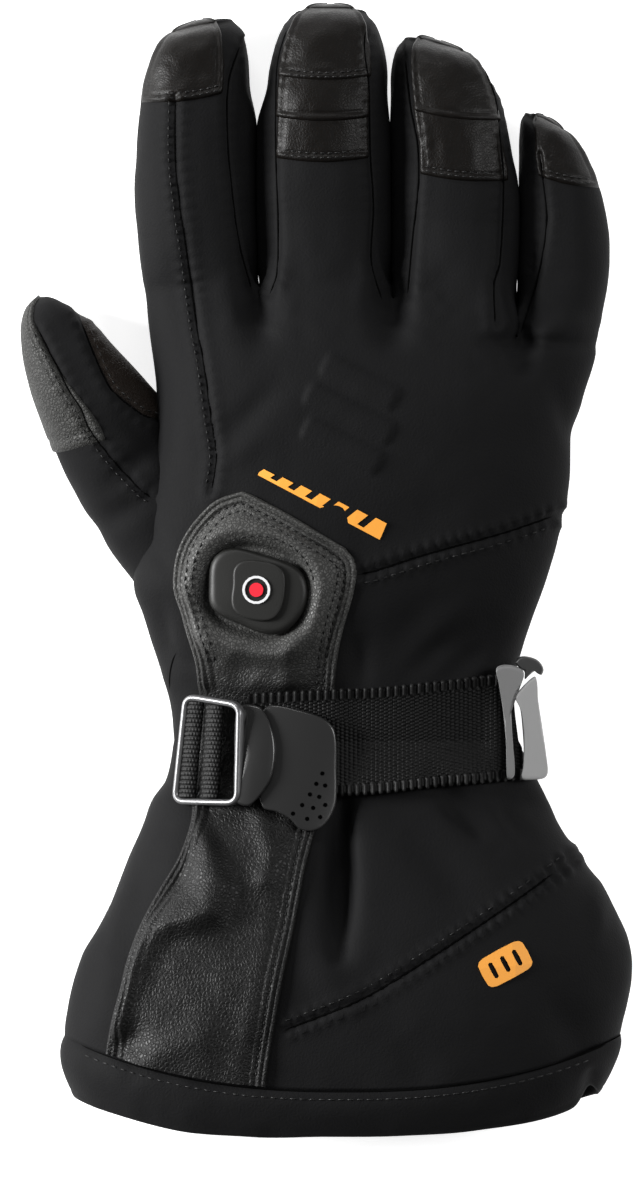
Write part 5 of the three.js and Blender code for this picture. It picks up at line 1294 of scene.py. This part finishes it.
# Hook buckle: a grey plastic plate beside a bar, on the little-finger side, tilted down over the edge of
# the wrist; the black hook comes round its upper end
BAR_CORNERS = [(48.2, 20.6), (50.5, 21.6), (54.2, 21), (55.9, 19.8), (56, 17.8), (53.9, 14.6), (52.6, 11.2), (52.6, 5),
               (53, -1), (53.5, -9.4), (52.6, -10.8), (51.4, -10.8), (51.1, -8), (50.9, 0), (50, 9), (48.9, 16)]
PLATE_CORNERS = [(53.6, 12.2), (54.4, 13.8), (56.8, 16.4), (59.3, 18.2), (60, 16), (60.2, 12), (61.4, 4), (62.7, -5), (63, -9.4),
                 (61.8, -10.8), (57.2, -11.2), (55.4, -10.8), (55.8, -8), (56, -2), (55.6, 4), (55, 9)]
HOOK_CORNERS = [(53.6, 22.4), (55.3, 23.9), (58.4, 23.6), (60.6, 22.4), (61.8, 20.2), (61.2, 18.6), (60.2, 18.9), (59.2, 19.6),
                (57.6, 18.4), (56.4, 17.4), (56.2, 19.6), (54.6, 20.8)]
BAR_PLASTIC, _, _ = new_material("bar_plastic", (0.13, 0.13, 0.13), 0.4)
add_piece("buckle_bar", *slab(closed_curve(BAR_CORNERS, 160), BUCKLE_PLANE, -0.4, 2.6, 0.7), BAR_PLASTIC, "buckle_plastic",
          ("hook_buckle_bar",))
add_piece("buckle_plate", *slab(closed_curve(PLATE_CORNERS, 160), BUCKLE_PLANE, 0.2, 2.2, 0.7), PLASTIC, "buckle_plastic",
          ("hook_buckle_frame",))
add_piece("buckle_hook", *slab(closed_curve(HOOK_CORNERS, 120), BUCKLE_PLANE, -0.2, 2.2, 0.6), BLACK_PLASTIC, "black_plastic",
          ("hook_buckle_hook",))

# Prints: a row of slanted graded bars on the hand and a small tile on the cuff, in flat orange ink
ORANGE, _, _ = new_material("orange_print", (0.70, 0.28, 0.026), 0.6)
show_node("heat_gauge", ORANGE, 0)
show_node("cuff_badge", ORANGE, 0)

# Stage: white floor, broad softbox from the upper left, a long strip at the right, camera straight above
floor_material, _, floor_shader = new_material("floor", (0.86, 0.86, 0.86), 0.9, Emission_Strength=0.75)
floor_shader.inputs["Emission Color"].default_value = (1, 1, 1, 1)
bpy.ops.mesh.primitive_plane_add(size=6, location=(0, 0, -0.0004))
floor = bpy.context.object
floor.name = "floor"
floor.data.materials.append(floor_material)


def softbox(name, place, size, power, aim=(0, 0, 0)):
    lamp = bpy.data.lights.new(name, "AREA")
    lamp.shape = "RECTANGLE"
    lamp.size, lamp.size_y = size
    lamp.energy = power
    obj = bpy.data.objects.new(name, lamp)
    obj.location = place
    obj.rotation_euler = (Vector(aim) - Vector(place)).to_track_quat("-Z", "Y").to_euler()
    bpy.context.scene.collection.objects.link(obj)


softbox("key", (-1.5, 0.25, 0.55), (0.5, 0.7), 70)
softbox("fill", (1.2, 0.3, 1.0), (0.4, 1.4), 17)
softbox("upper", (-0.3, 1.5, 0.8), (0.9, 0.3), 9)
world = bpy.data.worlds.new("studio")
bpy.context.scene.world = world
world.use_nodes = True
world.node_tree.nodes["Background"].inputs["Color"].default_value = (1, 1, 1, 1)
world.node_tree.nodes["Background"].inputs["Strength"].default_value = 0.16
bpy.context.scene.view_settings.view_transform = "Standard"

lens = bpy.data.cameras.new("camera")
lens.lens = 313.7
lens.clip_end = 10
camera = bpy.data.objects.new("camera", lens)
camera.location = (-0.0032, -0.0083, 3.0)
bpy.context.scene.collection.objects.link(camera)
bpy.context.scene.camera = camera
